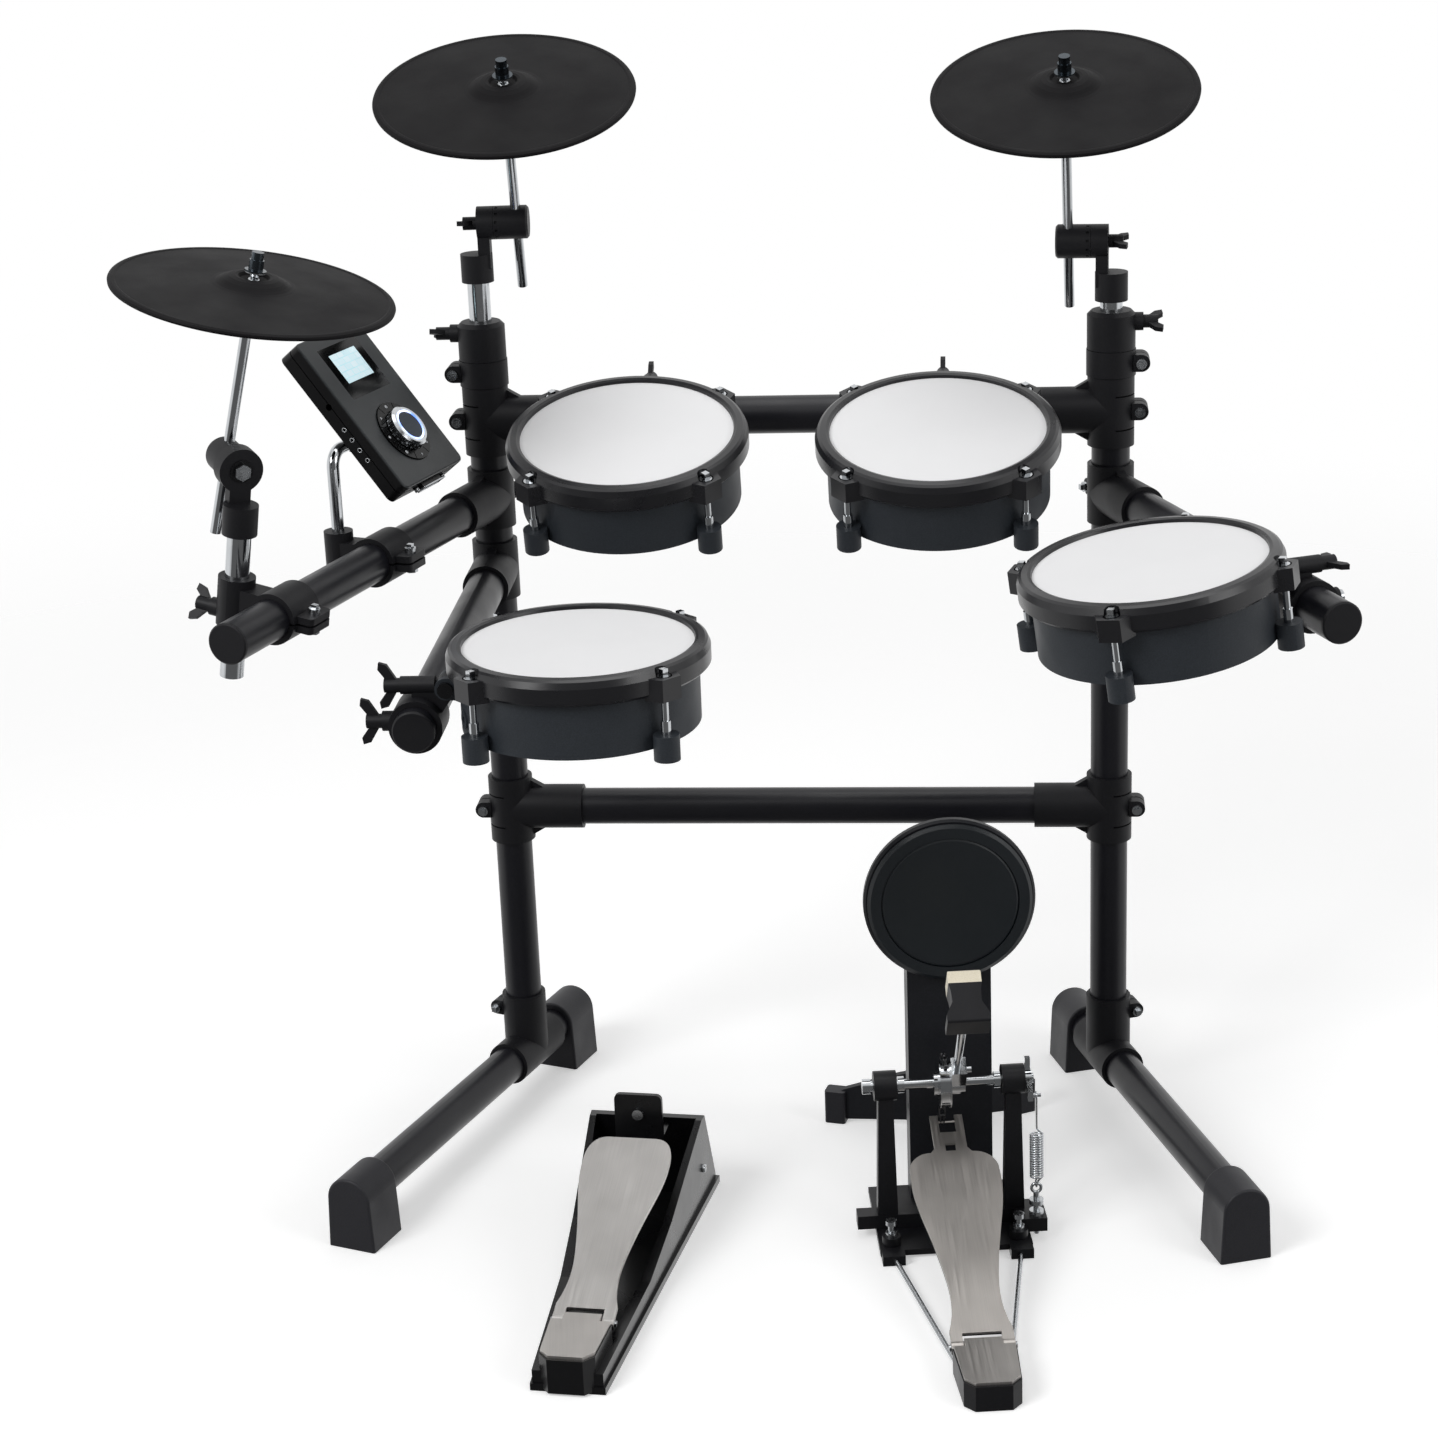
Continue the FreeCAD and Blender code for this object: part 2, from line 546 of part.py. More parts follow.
def pad_solids(lug_turn, socket_turn):
    """Shell, hoop, head, rods and trigger of one pad; head plane at z = 0, hinge at +y."""
    view = head_diameter / 2.0
    shell_r = view + 3.5
    lug_r = shell_r + 11.0
    pivot = shell_r + 11.5
    drop = -pad_hinge_drop
    shell = ring((0, 0, -shell_depth), (0, 0, 1), shell_r, shell_r - shell_wall, shell_depth - 1.0)
    shelf = cyl((0, 0, -shell_depth / 2), (0, 0, 1), shell_r - 1, 3.0)
    for k in range(3):
        vent = cyl((shell_r * 0.6, 0, -shell_depth), (0, 0, 1), 14.0, shell_depth)
        vent.rotate(V(0, 0, 0), V(0, 0, 1), 120 * k)
        shelf = shelf.cut(vent)
    floor_plate = cyl((0, 0, -shell_depth), (0, 0, 1), shell_r - 1, 3.5)
    shell = join(shell, shelf, floor_plate)
    angles = [45 + lug_turn + 360 * k / lug_count for k in range(lug_count)]
    for a in angles:
        c = math.cos(math.radians(a))
        s = math.sin(math.radians(a))
        lug = cyl((c * lug_r, s * lug_r, -shell_depth - 8), (0, 0, 1), 11.5, 23)
        shell = join(shell, lug).cut(cyl((c * lug_r, s * lug_r, -shell_depth + 0.8), (0, 0, 1), 4.4, 40))
    for x0 in (-14.3, 6.3):
        cheek = join(cyl((x0, pivot, drop), (1, 0, 0), 10.0, 8),
                     block(x0, x0 + 8, shell_r - 6, pivot, drop - 10, drop + 10))
        shell = join(shell, cheek)
    shell = shell.cut(cyl((-30, pivot, drop), (1, 0, 0), 4.06, 60))
    room = shell_depth / 2 - 3.5
    shell = shell.cut(cyl((0, 0, 3.5 - shell_depth), (0, 0, 1), shell_r - shell_wall, room))
    shell = shell.cut(cyl((0, 0, -shell_depth / 2 + 3), (0, 0, 1), shell_r - shell_wall, shell_depth))
    jack = FreeCAD.Placement(V(0, 0, 0), FreeCAD.Rotation(V(0, 0, 1), socket_turn))
    socket = cyl((shell_r + 1.5 - jack_depth - 3, 0, -shell_depth + 16), (1, 0, 0), 8.0, jack_depth + 3)
    bore = cyl((shell_r + 1.5 - jack_depth, 0, -shell_depth + 16), (1, 0, 0), jack_radius, jack_depth + 5)
    shell = join(shell, placed(socket, jack)).cut(placed(bore, jack))
    cone = Part.makeCone(24, 9, shell_depth / 2 - 6.2, V(0, 0, -shell_depth / 2 + 4.0))
    disc = cyl((0, 0, -shell_depth / 2 + 3.0), (0, 0, 1), 27.0, 0.9)
    head = turned([(0, -1.0), (shell_r + 0.4, -1.0), (shell_r + 0.4, -7.0), (shell_r + 1.4, -7.0),
                   (shell_r + 1.4, 0), (0, 0)])
    edge = shell_r + 10.5
    hoop = turned([(view, 0.2), (shell_r + 2.0, 0.2), (shell_r + 2.0, -9.0), (shell_r + 0.8, -9.0),
                   (shell_r + 0.8, 4 - hoop_height), (edge - 3, 4 - hoop_height), (edge, 7 - hoop_height),
                   (edge, -4), (edge - 2.4, 1.6), (edge - 5, 3.2), (view + 3.5, 4.0), (view + 0.8, 3.0)])
    rods = []
    for a in angles:
        turn = FreeCAD.Placement(V(0, 0, 0), FreeCAD.Rotation(V(0, 0, 1), a))
        ear = prism([(shell_r + 5, -17, -3), (shell_r + 5, 17, -3), (lug_r + 10.5, 10, -3),
                     (lug_r + 10.5, -10, -3)], (0, 0, -20))
        lip = cyl((lug_r, 0, -23), (0, 0, 1), 8.8, 20)
        hoop = join(hoop, placed(join(ear, lip), turn))
        hole = cyl((lug_r, 0, -40), (0, 0, 1), 3.2, 80)
        pocket = cyl((lug_r, 0, -7.2), (0, 0, 1), 7.4, 20)
        hoop = hoop.cut(placed(join(hole, pocket), turn))
        rod = join(cyl((lug_r, 0, -shell_depth + 1.0), (0, 0, 1), 3.0, shell_depth - 8.0),
                   cyl((lug_r, 0, -shell_depth + 1.0), (0, 0, 1), 4.3, 26),
                   cyl((lug_r, 0, -7.1), (0, 0, 1), 6.0, 4.2),
                   block(lug_r - 2.8, lug_r + 2.8, -2.8, 2.8, -3.0, 3.2))
        rods.append(placed(rod, turn))
    return shell, [cone, disc], hoop, head, rods, pivot


def build_pad(name, tube_place, along, side, tilt, out, up, lug_turn, socket_turn):
    """One drum pad hung beside a tube on its hinge clamp."""
    shell, trigger, hoop, head, rods, pivot = pad_solids(lug_turn, socket_turn)
    turn = 0 if side < 0 else 180
    clamp_at = tube_place.multiply(yawed(along, 0, 0, turn))
    add("rack_clamps", placed(pad_clamp(out, up), clamp_at))
    hinge = clamp_at.multiply(FreeCAD.Placement(V(0, -out, up), FreeCAD.Rotation()))
    add("tee_bolts", placed(hinge_pin(), hinge))
    wing_turn = 0 if lug_turn else 90
    span = 16.0 if tilt == tom_tilt else 21.0
    lock = side_wing(14.3, out - 0.5, max(up, sleeve_r + 9.8), wing_turn, span)
    add("wing_bolts", placed(lock, clamp_at))
    if lug_turn:
        screw = join(cyl((0, tube_r + 0.3, 0), (0, 1, 0), 4.0, sleeve_wall + 9.0),
                     cyl((0, tube_r + sleeve_wall + 9.3, 0), (0, 1, 0), 6.5, 4.0))
        add("tee_bolts", placed(screw, clamp_at))
    else:
        grip = side_wing(tube_r + sleeve_wall + 9.3, sleeve_wall + 8.9, 0, 90, span)
        add("wing_bolts", placed(grip, clamp_at))
    lean = FreeCAD.Placement(V(0, 0, 0), FreeCAD.Rotation(V(1, 0, 0), tilt))
    offset = FreeCAD.Placement(V(0, -pivot, pad_hinge_drop), FreeCAD.Rotation())
    place = hinge.multiply(lean).multiply(offset)
    add(name + "_shell", placed(shell, place), *[placed(s, place) for s in trigger])
    add(name + "_hoop", placed(hoop, place))
    add(name + "_head", placed(head, place))
    add(name + "_tension_rods", *[placed(s, place) for s in rods])
    anchor(name + "_tilt", hinge, (0, 0, 0), (1, 0, 0))
    a = math.radians(socket_turn)
    reach = head_diameter / 2.0 + 5.0 - jack_depth / 2
    spot = (reach * math.cos(a), reach * math.sin(a), -shell_depth + 16)
    anchor(name + "_jack", place, spot, (math.cos(a), math.sin(a), 0))


def build_pads():
    """Two toms on the upper cross tube, snare and floor tom on their arms."""
    cross = yawed(0, 0, upper_cross_height, 0)
    build_pad("tom_1", cross, -tom_offset, -1, tom_tilt, tom_hinge_out, tom_hinge_up, 0, jack_turn)
    build_pad("tom_2", cross, tom_offset, -1, tom_tilt, tom_hinge_out, tom_hinge_up, 0, jack_turn)
    build_pad("snare", snare_arm, snare_along_arm, 1, 0.0, side_hinge_out, side_hinge_up, 0, jack_turn)
    build_pad("floor_tom", floor_arm, floor_along_arm, -1, floor_tilt, side_hinge_out, side_hinge_up,
              floor_lug_turn, floor_jack_turn)


def build_hihat_clamp():
    """Clamp on the module arm with a side socket for the hi-hat post."""
    place = hihat_clamp_frame
    body = tube_clamp(46.0)
    away = -hihat_post_offset
    socket_r = post_diameter / 2 + 6.0
    socket = cyl((0, away, -23), (0, 0, 1), socket_r, 46)
    bar = block(-13, 13, away, -tube_r, -15, 15)
    boss = cyl((0, away - socket_r - 7, -12), (0, 1, 0), 8.5, 12)
    body = join(body, socket, bar, boss)
    body = body.cut(cyl((-60, 0, 0), (1, 0, 0), bore_r, 120))
    body = body.cut(cyl((0, away, -60), (0, 0, 1), post_diameter / 2 + slip_gap, 120))
    body = body.cut(cyl((0, away - socket_r - 20, -12), (0, 1, 0), 4.1, 27))
    add("rack_clamps", placed(body, place))
    wing = wing_bolt(11.0)
    wing.rotate(V(0, 0, 0), V(0, 0, 1), 60)
    turn = FreeCAD.Rotation(V(1, 0, 0), -90)
    wing = placed(wing, FreeCAD.Placement(V(0, away - socket_r - 7.3, -12), turn))
    add("wing_bolts", placed(wing, place))
    add("tee_bolts", placed(clamp_bolt(), place))


def build_module():
    """Sound module on a bent rod clamped to its arm."""
    slope = math.radians(module_slope)
    thick = module_thickness
    place = module_arm.multiply(FreeCAD.Placement(V(module_along_arm, 0, 0), FreeCAD.Rotation()))
    along = V(-1, 0, 0)
    up_slope = V(0, -math.cos(slope), math.sin(slope))
    normal = along.cross(up_slope)
    base = V(module_width / 2 + 3.0, 28.0, module_rise)
    m = FreeCAD.Matrix(along.x, up_slope.x, normal.x, base.x, along.y, up_slope.y, normal.y, base.y,
                       along.z, up_slope.z, normal.z, base.z, 0, 0, 0, 1)
    face = place.multiply(FreeCAD.Placement(m))
    w = module_width
    length = module_length
    case = block(0, w, 0, length, -thick, 0)
    case = softened(case, 7.0, lambda e: e.BoundBox.ZLength > thick - 1)
    case = softened(case, 2.0, lambda e: e.BoundBox.ZMin > -0.01)
    groove = block(-1, w + 1, -1, length + 1, -thick * 0.45 - 1.0, -thick * 0.45)
    inner = block(1.0, w - 1.0, 1.0, length - 1.0, -thick, 0)
    inner = softened(inner, 6.0, lambda e: e.BoundBox.ZLength > thick - 1)
    case = case.cut(groove.cut(inner))
    dial_y = length * 0.30
    dial_x = w / 2.0
    ring_out = dial_diameter / 2 + 11.0
    screen_y = length * 0.77
    half_w = w * 0.21
    half_h = length * 0.095
    groove = ring((dial_x, dial_y, -3.0 - button_travel), (0, 0, 1), ring_out, dial_diameter / 2 + 0.6, 10)
    case = case.cut(groove)
    case = case.cut(cyl((dial_x, dial_y, -12.0), (0, 0, 1), 6.06, 20))
    case = case.cut(block(dial_x - half_w, dial_x + half_w, screen_y - half_h, screen_y + half_h, -1.5, 5))
    case = case.cut(cyl((-1, length * 0.62, -thick * 0.55), (1, 0, 0), jack_radius, jack_depth + 1))
    for k in range(4):
        case = case.cut(cyl((-1, length * (0.26 + 0.07 * k), -thick * 0.62), (1, 0, 0), 1.5, 3))
    plug = [(-20, -3.6), (20, -3.6), (18, 3.6), (-18, 3.6)]
    case = join(case, prism([(w * 0.5 + x, -4.5, -thick * 0.5 + z) for x, z in plug], (0, 8, 0)))
    lug_y = length * 0.42
    lug_z = -thick - 13.0
    lug = join(block(w * 0.28, w * 0.72, lug_y - 10, lug_y + 10, -thick - 13, -thick + 1),
               cyl((w * 0.28, lug_y, lug_z), (1, 0, 0), 10.0, w * 0.44))
    case = join(case, lug).cut(cyl((0, lug_y, lug_z), (1, 0, 0), 6.06, w))
    add("module_case", placed(case, face))
    glass = block(dial_x - half_w + 0.1, dial_x + half_w - 0.1,
                  screen_y - half_h + 0.1, screen_y + half_h - 0.1, -1.5, -0.3)
    add("module_screen", placed(glass, face))
    knob = cyl((dial_x, dial_y, 0.8), (0, 0, 1), dial_diameter / 2, 11.0)
    knob = knob.makeChamfer(2.0, [e for e in knob.Edges if e.BoundBox.ZMin > 11])
    for k in range(24):
        flute = cyl((dial_x + dial_diameter / 2 + 0.5, dial_y, 2.5), (0, 0, 1), 1.5, 7.0)
        flute.rotate(V(dial_x, dial_y, 0), V(0, 0, 1), 15 * k)
        knob = knob.cut(flute)
    groove = ring((dial_x, dial_y, 11.0), (0, 0, 1), dial_diameter * 0.40, dial_diameter * 0.33, 2)
    knob = join(knob.cut(groove), cyl((dial_x, dial_y, -10.0), (0, 0, 1), 6.0, 12))
    add("jog_dial", placed(knob, face))
    keys = ring((dial_x, dial_y, -2.6), (0, 0, 1), ring_out - 0.4, dial_diameter / 2 + 1.0, 4.2)
    for k in range(8):
        near = dial_x + dial_diameter / 2 + 2.5
        slit = block(near, dial_x + ring_out, dial_y - 0.5, dial_y + 0.5, 0.8, 3)
        slit.rotate(V(dial_x, dial_y, 0), V(0, 0, 1), 45 * k + 22.5)
        keys = keys.cut(slit)
    add("menu_ring", placed(keys, face))
    anchor("module_tilt", face, (w / 2, lug_y, lug_z), (1, 0, 0))
    anchor("dial_turn", face, (dial_x, dial_y, 0), (0, 0, 1))
    anchor("menu_press", face, (dial_x, dial_y, 0), (0, 0, 1))
    anchor("module_jack", face, (jack_depth / 2, length * 0.62, -thick * 0.55), (-1, 0, 0))
    build_module_rod(place, face, w, lug_y, lug_z)


def build_module_rod(place, face, w, lug_y, lug_z):
    """Bent chrome rod from an arm clamp up into the lug behind the module."""
    inside = place.inverse().multVec(face.multVec(V(w * 0.30, lug_y, lug_z)))
    outside = place.inverse().multVec(face.multVec(V(w * 0.78, lug_y, lug_z)))
    bend_x = max(inside.x, outside.x) + 42.0
    y = inside.y
    top = inside.z
    low = -26.0
    radius = 16.0
    start = V(min(inside.x, outside.x), y, top)
    a = V(bend_x - radius, y, top)
    b = V(bend_x, y, top - radius)
    part_way = radius * math.sin(math.pi / 4)
    mid = V(bend_x - radius + part_way, y, top - radius + part_way)
    leg = Part.makeLine(b, V(bend_x, y, low))
    path = Part.Wire([Part.makeLine(start, a), Part.Arc(a, mid, b).toShape(), leg])
    circle = Part.Wire([Part.makeCircle(6.0, start, V(1, 0, 0))])
    rod = path.makePipeShell([circle], True, False)
    add("module_rod", placed(rod, place))
    clamp = tube_clamp(44.0)
    bridge = block(-12, 12, min(y, -tube_r), max(y, -tube_r), -14, 14)
    hole = join(cyl((0, y, -23), (0, 0, 1), 14.0, 46), bridge)
    clamp = join(clamp, hole).cut(cyl((-60, 0, 0), (1, 0, 0), bore_r, 120))
    clamp = clamp.cut(cyl((0, y, -60), (0, 0, 1), 6.0 + slip_gap, 120))
    spot = place.multiply(FreeCAD.Placement(V(bend_x, 0, 0), FreeCAD.Rotation()))
    add("rack_clamps", placed(clamp, spot))
    add("tee_bolts", placed(clamp_bolt(), spot))


def curve_outline(points):
    """Smooth edge through outline points in the xy plane."""
    curve = Part.BSplineCurve()
    curve.interpolate([V(x, y, 0) for x, y in points])
    return curve.toShape()


def footboard(length, prongs):
    """Steel footboard in its own plane: hinge at y = 0, toe at +y, top at z = 0."""
    tip = length - 62 if prongs else length - 26
    right = [(29, 16), (25.5, 30), (23, 56), (26, 92), (34, 140), (41, 178), (43, tip - 16)]
    shoulder = [(43, tip - 16), (41, tip - 4), (33, tip + 6), (20, tip + 10)]
    end = length - 24 if prongs else tip + 26
    pts = []
    if prongs:
        pts = [(20, tip + 10), (16, tip + 16), (16, length), (8, length), (8, end), (-8, end), (-8, length),
               (-16, length), (-16, tip + 16), (-20, tip + 10)]
    else:
        shoulder = [(43, tip - 16), (41.5, tip), (36, tip + 12), (24, tip + 18)]
        pts = [(24, tip + 18), (-24, tip + 18)]
    left = [(-x, y) for x, y in reversed(right)]
    lead = [(-x, y) for x, y in reversed(shoulder)]
    tabs = [(-29, 16), (-29, -6), (-18, -6), (-18, 12), (18, 12), (18, -6), (29, -6), (29, 16)]
    edges = [curve_outline(right), curve_outline(shoulder)]
    edges += [Part.makeLine(V(*pts[k], 0), V(*pts[k + 1], 0)) for k in range(len(pts) - 1)]
    edges += [curve_outline(lead), curve_outline(left)]
    edges += [Part.makeLine(V(*tabs[k], 0), V(*tabs[k + 1], 0)) for k in range(len(tabs) - 1)]
    plate = Part.Face(Part.Wire(Part.__sortEdges__(edges))).extrude(V(0, 0, -board_thickness))
    if prongs:
        plate = plate.cut(block(-5, 5, tip + 12, tip + 22, -20, 5))
    for side in (-1, 1):
        knuckle = cyl((side * 23.5 - 5.5, 0, -board_thickness - 1.5), (1, 0, 0), 6.0, 11)
        plate = join(plate, knuckle)
    plate = plate.cut(cyl((-40, 0, -board_thickness - 1.5), (1, 0, 0), 3.06, 80))
    return plate


def heel(place, low):
    """Heel plate, heel block and hinge pin; the hinge is at the origin of the frame."""
    outline = [(-28, -12), (28, -12), (25, -66), (16, -76), (-16, -76), (-25, -66)]
    plate = prism([(x, y, 0.5) for x, y in outline], (0, 0, 3.0))
    tongue = block(-17.4, 17.4, -12, 0.5, 0.5, 3.5)
    plate = join(plate, tongue)
    pin = cyl((-31, 0, -5.5), (1, 0, 0), 3.0, 62)
    bed = prism([(x * 1.04, y * 1.03, low) for x, y in outline], (0, 0, 0.4 - low))
    knuckle = join(cyl((-17.4, 0, -5.5), (1, 0, 0), 5.8, 34.8), block(-17.4, 17.4, -14, 0, -11.3, 0.3))
    knuckle = knuckle.cut(cyl((-40, 0, -5.5), (1, 0, 0), 3.06, 80))
    bed = join(bed, knuckle)
    for side in (-1, 1):
        bed = bed.cut(cyl((side * 23.6 - 6.2, 0, -5.5), (1, 0, 0), 6.6, 12.4))
    return placed(plate, place), placed(pin, place), placed(bed, place)


kick = yawed(kick_x, kick_y, 0, kick_yaw)
toe_out = sprocket_radius + 6.0
heel_run = (board_length - 2.0) * math.cos(math.radians(board_angle))
kick_heel_y = toe_out - heel_run


def build_kick_tower():
    """Pad tower: column, rear foot and the round trigger pad."""
    back = kick_pad_face + 36.0
    stand = kick.multiply(yawed(tower_shift, 0, 0, 0))
    column = block(-41, 41, back - 14, back + 16, 9.3, kick_pad_height + 30)
    hollow = block(-38, 38, back - 11, back + 20, 12.3, kick_pad_height + 27)
    column = column.cut(hollow)
    spine = block(-26, 26, back - 14, 226, 9.3, 13.3)
    rib = prism([(-26, back + 16, 9.3), (-26, 222, 9.3), (-26, 222, 50), (-26, back + 16, 80)], (4, 0, 0))
    rib_2 = rib.mirror(V(0, 0, 0), V(1, 0, 0))
    wings = []
    for side in (-1, 1):
        plan = [(0, 212), (side * 100, 248), (side * 98, 254), (0, 219)]
        profile = [(-1, 9.3), (side * 30, 9.3), (side * 102, 2),
                   (side * 102, 33), (side * 34, 61), (-1, 72)]
        wall = prism([(x, y, 0) for x, y in plan], (0, 0, 90))
        shape = prism([(x, 190, z) for x, z in profile], (0, 80, 0))
        wings.append(wall.common(shape))
        cap = block(-11, 11, -9, 9, 0.0, 36.0)
        cap = softened(cap, 3.0, lambda e: e.BoundBox.ZLength > 30)
        cap = placed(cap, yawed(side * 99, 250, 0, side * 20))
        cap = cap.cut(wings[-1])
        add("rubber_feet", placed(cap, stand))
    tower = join(column, spine, rib, rib_2, *wings)
    housing = turned([(0, 0), (kick_pad_radius - 8, 0), (kick_pad_radius, 8), (kick_pad_radius, 13.5),
                      (kick_pad_radius - 2.2, 15.7), (0, 15.7)])
    turn = frame_of((0, back - 14, kick_pad_height), (1, 0, 0), (0, -1, 0))
    boss = block(-40, -41 + jack_depth + 4, back - 12, back + 8, 95, 115)
    tower = join(tower, placed(housing, turn), boss)
    tower = tower.cut(cyl((-45, back - 2, 105), (1, 0, 0), jack_radius, jack_depth + 4))
    anchor("kick_jack", stand, (-41 + jack_depth / 2, back - 2, 105), (-1, 0, 0))
    add("kick_tower", placed(tower, stand))
    edge = kick_pad_radius - 3.5
    rim = turned([(kick_pad_radius * 0.80, 22.0), (edge - 1, 22.0), (edge, 23.0),
                  (edge, 25.0), (edge - 3, 27.6), (kick_pad_radius * 0.80, 28.4)])
    face = turned([(0, 22.0), (kick_pad_radius * 0.80 - 0.6, 22.0), (kick_pad_radius * 0.80 - 0.6, 27.0),
                   (kick_pad_radius * 0.78 - 1, 28.0), (0, 28.0)])
    rim.translate(V(0, 0, -6.0))
    face.translate(V(0, 0, -6.0))
    base = frame_of((0, kick_pad_face + 22.0, kick_pad_height), (1, 0, 0), (0, -1, 0))
    add("kick_pad", *[placed(placed(s, base), stand) for s in (rim, face)])


def build_pedal_frame():
    """Pedal frame casting, heel block, rods, pins and screws."""
    s = post_half_spacing
    spring_at = (s + 19.5, -rocker_radius * 0.96)
    bar = block(-s - 30, s + 10, -9, 9, 10, 24)
    plate = block(-s - 12, s + 12, -52, kick_pad_face + 50, 3.0, 9.0)
    tail = block(s, s + 29, spring_at[1] - 9, 9, 10, 24)
    frame = join(bar, plate, block(-s - 12, s + 12, -9, 9, 3, 12), tail)
    for side in (-1, 1):
        x = side * s
        post = prism([(x - 10, -8, 20), (x + 10, -8, 20),
                      (x + 7, -8, axle_height), (x - 7, -8, axle_height)], (0, 16, 0))
        head = cyl((x - 11, 0, axle_height), (1, 0, 0), 14.5, 22)
        spur_boss = cyl((x, -38, 3), (0, 0, 1), 9.0, 15)
        foot_block = block(x - 11, x + 11, -66, -48, 0, 10)
        frame = join(frame, post, head, spur_boss, foot_block)
    frame = frame.cut(cyl((-s - 40, 0, axle_height), (1, 0, 0), axle_radius + 0.06, 2 * s + 80))
    frame = frame.cut(cyl((spring_at[0], spring_at[1], 0), (0, 0, 1), 3.1, 40))
    for side in (-1, 1):
        frame = frame.cut(cyl((side * s, -38, -1), (0, 0, 1), 3.1, 30))
    place = kick.multiply(FreeCAD.Placement(V(0, kick_heel_y, heel_height), FreeCAD.Rotation()))
    plate, pin, bed = heel(place, -heel_height)
    add("heel_plates", plate)
    add("pedal_rods", pin)
    for side in (-1, 1):
        a = V(side * s, -57.0, 5.2)
        b = V(side * 22.0, kick_heel_y - 20.0, 5.2)
        run = b - a
        rod = placed(Part.makeCylinder(2.5, run.Length, a, run), kick)
        begin = a - run * (slip_gap / run.Length)
        room = Part.makeCylinder(2.5 + slip_gap, run.Length + slip_gap, begin, run)
        room = placed(room, kick)
        bed = bed.cut(room)
        frame = frame.cut(room.transformed(kick.inverse().toMatrix()))
        add("pedal_rods", rod)
        screw = join(cyl((side * s, -38, 0.5), (0, 0, 1), 3.0, 34),
                     cyl((side * s, -38, 18.1), (0, 0, 1), 5.5, 4.0),
                     cyl((side * s, -38, 30), (0, 0, 1), 5.5, 4.5))
        add("pedal_rods", placed(screw, kick))
    add("pedal_frame", placed(frame, kick), bed)
    eye = join(cyl((0, 0, 4), (0, 0, 1), 3.0, 44), cyl((0, 0, 24.1), (0, 0, 1), 7.0, 5.0),
               cyl((0, 0, 36), (0, 0, 1), 7.0, 5.0))
    loop = Part.makeTorus(4.6, 1.6, V(0, 0, 53.0), V(0, 1, 0))
    eye = join(eye, loop)
    eye.translate(V(spring_at[0], spring_at[1], 0))
    add("pedal_rods", placed(eye, kick))
    return spring_at


def build_beater():
    """Axle, hub, rocker, beater shaft, head and felt, built at the rest angle."""
    s = post_half_spacing
    z = axle_height
    axle = cyl((-s - 22, 0, z), (1, 0, 0), axle_radius, 2 * s + 42)
    collars = [cyl((side * (s - 15.5) - 3, 0, z), (1, 0, 0), 8.0, 6) for side in (-1, 1)]
    cap = cyl((-s - 22, 0, z), (1, 0, 0), 7.5, 8)
    hub = cyl((-15, 0, z), (1, 0, 0), 12.0, 30)
    wheel = cyl((chain_x - 5.0, 0, z), (1, 0, 0), sprocket_radius - 3.1, 8.5)
    flanges = [cyl((chain_x + x, 0, z), (1, 0, 0), sprocket_radius - 0.7, 1.2) for x in (-6.2, 3.5)]
    hub = join(axle, cap, hub, wheel, *collars, *flanges)
    lean = FreeCAD.Placement(V(0, 0, z), FreeCAD.Rotation(V(1, 0, 0), beater_rest_angle))
    x = beater_x
    clamp = block(x - 5.5, x + 9, -9, 9, 4, 34)
    clamp = placed(clamp.cut(cyl((x, 0, 14), (0, 0, 1), 4.05, 40)), lean)
    stud = placed(cyl((x + 9, 0, 26), (1, 0, 0), 3.5, 5), lean)
    hub = join(hub, clamp, stud)
    arm_x = s + 11.6
    dip = math.radians(19)
    pin = V(arm_x, -rocker_radius * math.cos(dip), z - rocker_radius * math.sin(dip))
    rocker = join(cyl((arm_x, 0, z), (1, 0, 0), 10.0, 6),
                  prism([(arm_x, 3.0, z + 9), (arm_x, pin.y - 3, pin.z + 5), (arm_x, pin.y - 3, pin.z - 5),
                         (arm_x, 3.0, z - 9)], (5, 0, 0)),
                  block(arm_x, arm_x + 5, -3, 3, z + 6, z + 22),
                  cyl((arm_x, pin.y, pin.z), (1, 0, 0), 2.0, 12.5))
    add("pedal_axle", placed(join(hub, rocker), kick))
    shaft = cyl((x, 0, 14.2), (0, 0, 1), 4.0, beater_reach - 14.2 - 7.0)
    add("beater_shaft", placed(placed(shaft, lean), kick))
    plan = [(-20, -24), (20, -24), (20, -16), (13.5, -3), (14, 8), (15.5, 16), (-15.5, 16), (-14, 8),
            (-13.5, -3), (-20, -16)]
    body = prism([(x + a, b, beater_reach - 28) for a, b in plan], (0, 0, 28))
    body = softened(body, 2.5, lambda e: abs(e.BoundBox.YMax + 24) < 0.01 and e.BoundBox.XLength > 30)
    body = body.cut(cyl((x, 0, beater_reach - 40), (0, 0, 1), 4.05, 33.2))
    add("beater_head", placed(placed(body, lean), kick))
    felt = block(x - 15.5, x + 15.5, 16.1, kick_pad_face - 0.4, beater_reach - 28, beater_reach)
    felt = softened(felt, 2.5, lambda e: e.BoundBox.YMin > kick_pad_face - 1 and e.BoundBox.YLength < 1)
    add("beater_felt", placed(placed(felt, lean), kick))
    anchor("beater_swing", kick, (0, 0, axle_height), (1, 0, 0))
    return pin


def link_plate(a, b, x0, x1, half_height):
    """Chain side plate between two pin points in the yz plane."""
    run = V(0, b[0] - a[0], b[1] - a[1])
    side = V(1, 0, 0).cross(run).normalize() * half_height
    p = V(x0, a[0], a[1])
    q = V(x0, b[0], b[1])
    pts = [p + side, q + side, q - side, p - side]
    plate = prism([(v.x, v.y, v.z) for v in pts], (x1 - x0, 0, 0))
    ends = [Part.makeCylinder(half_height, x1 - x0, V(x0, c[0], c[1]), V(1, 0, 0)) for c in (a, b)]
    return join(plate, *ends)


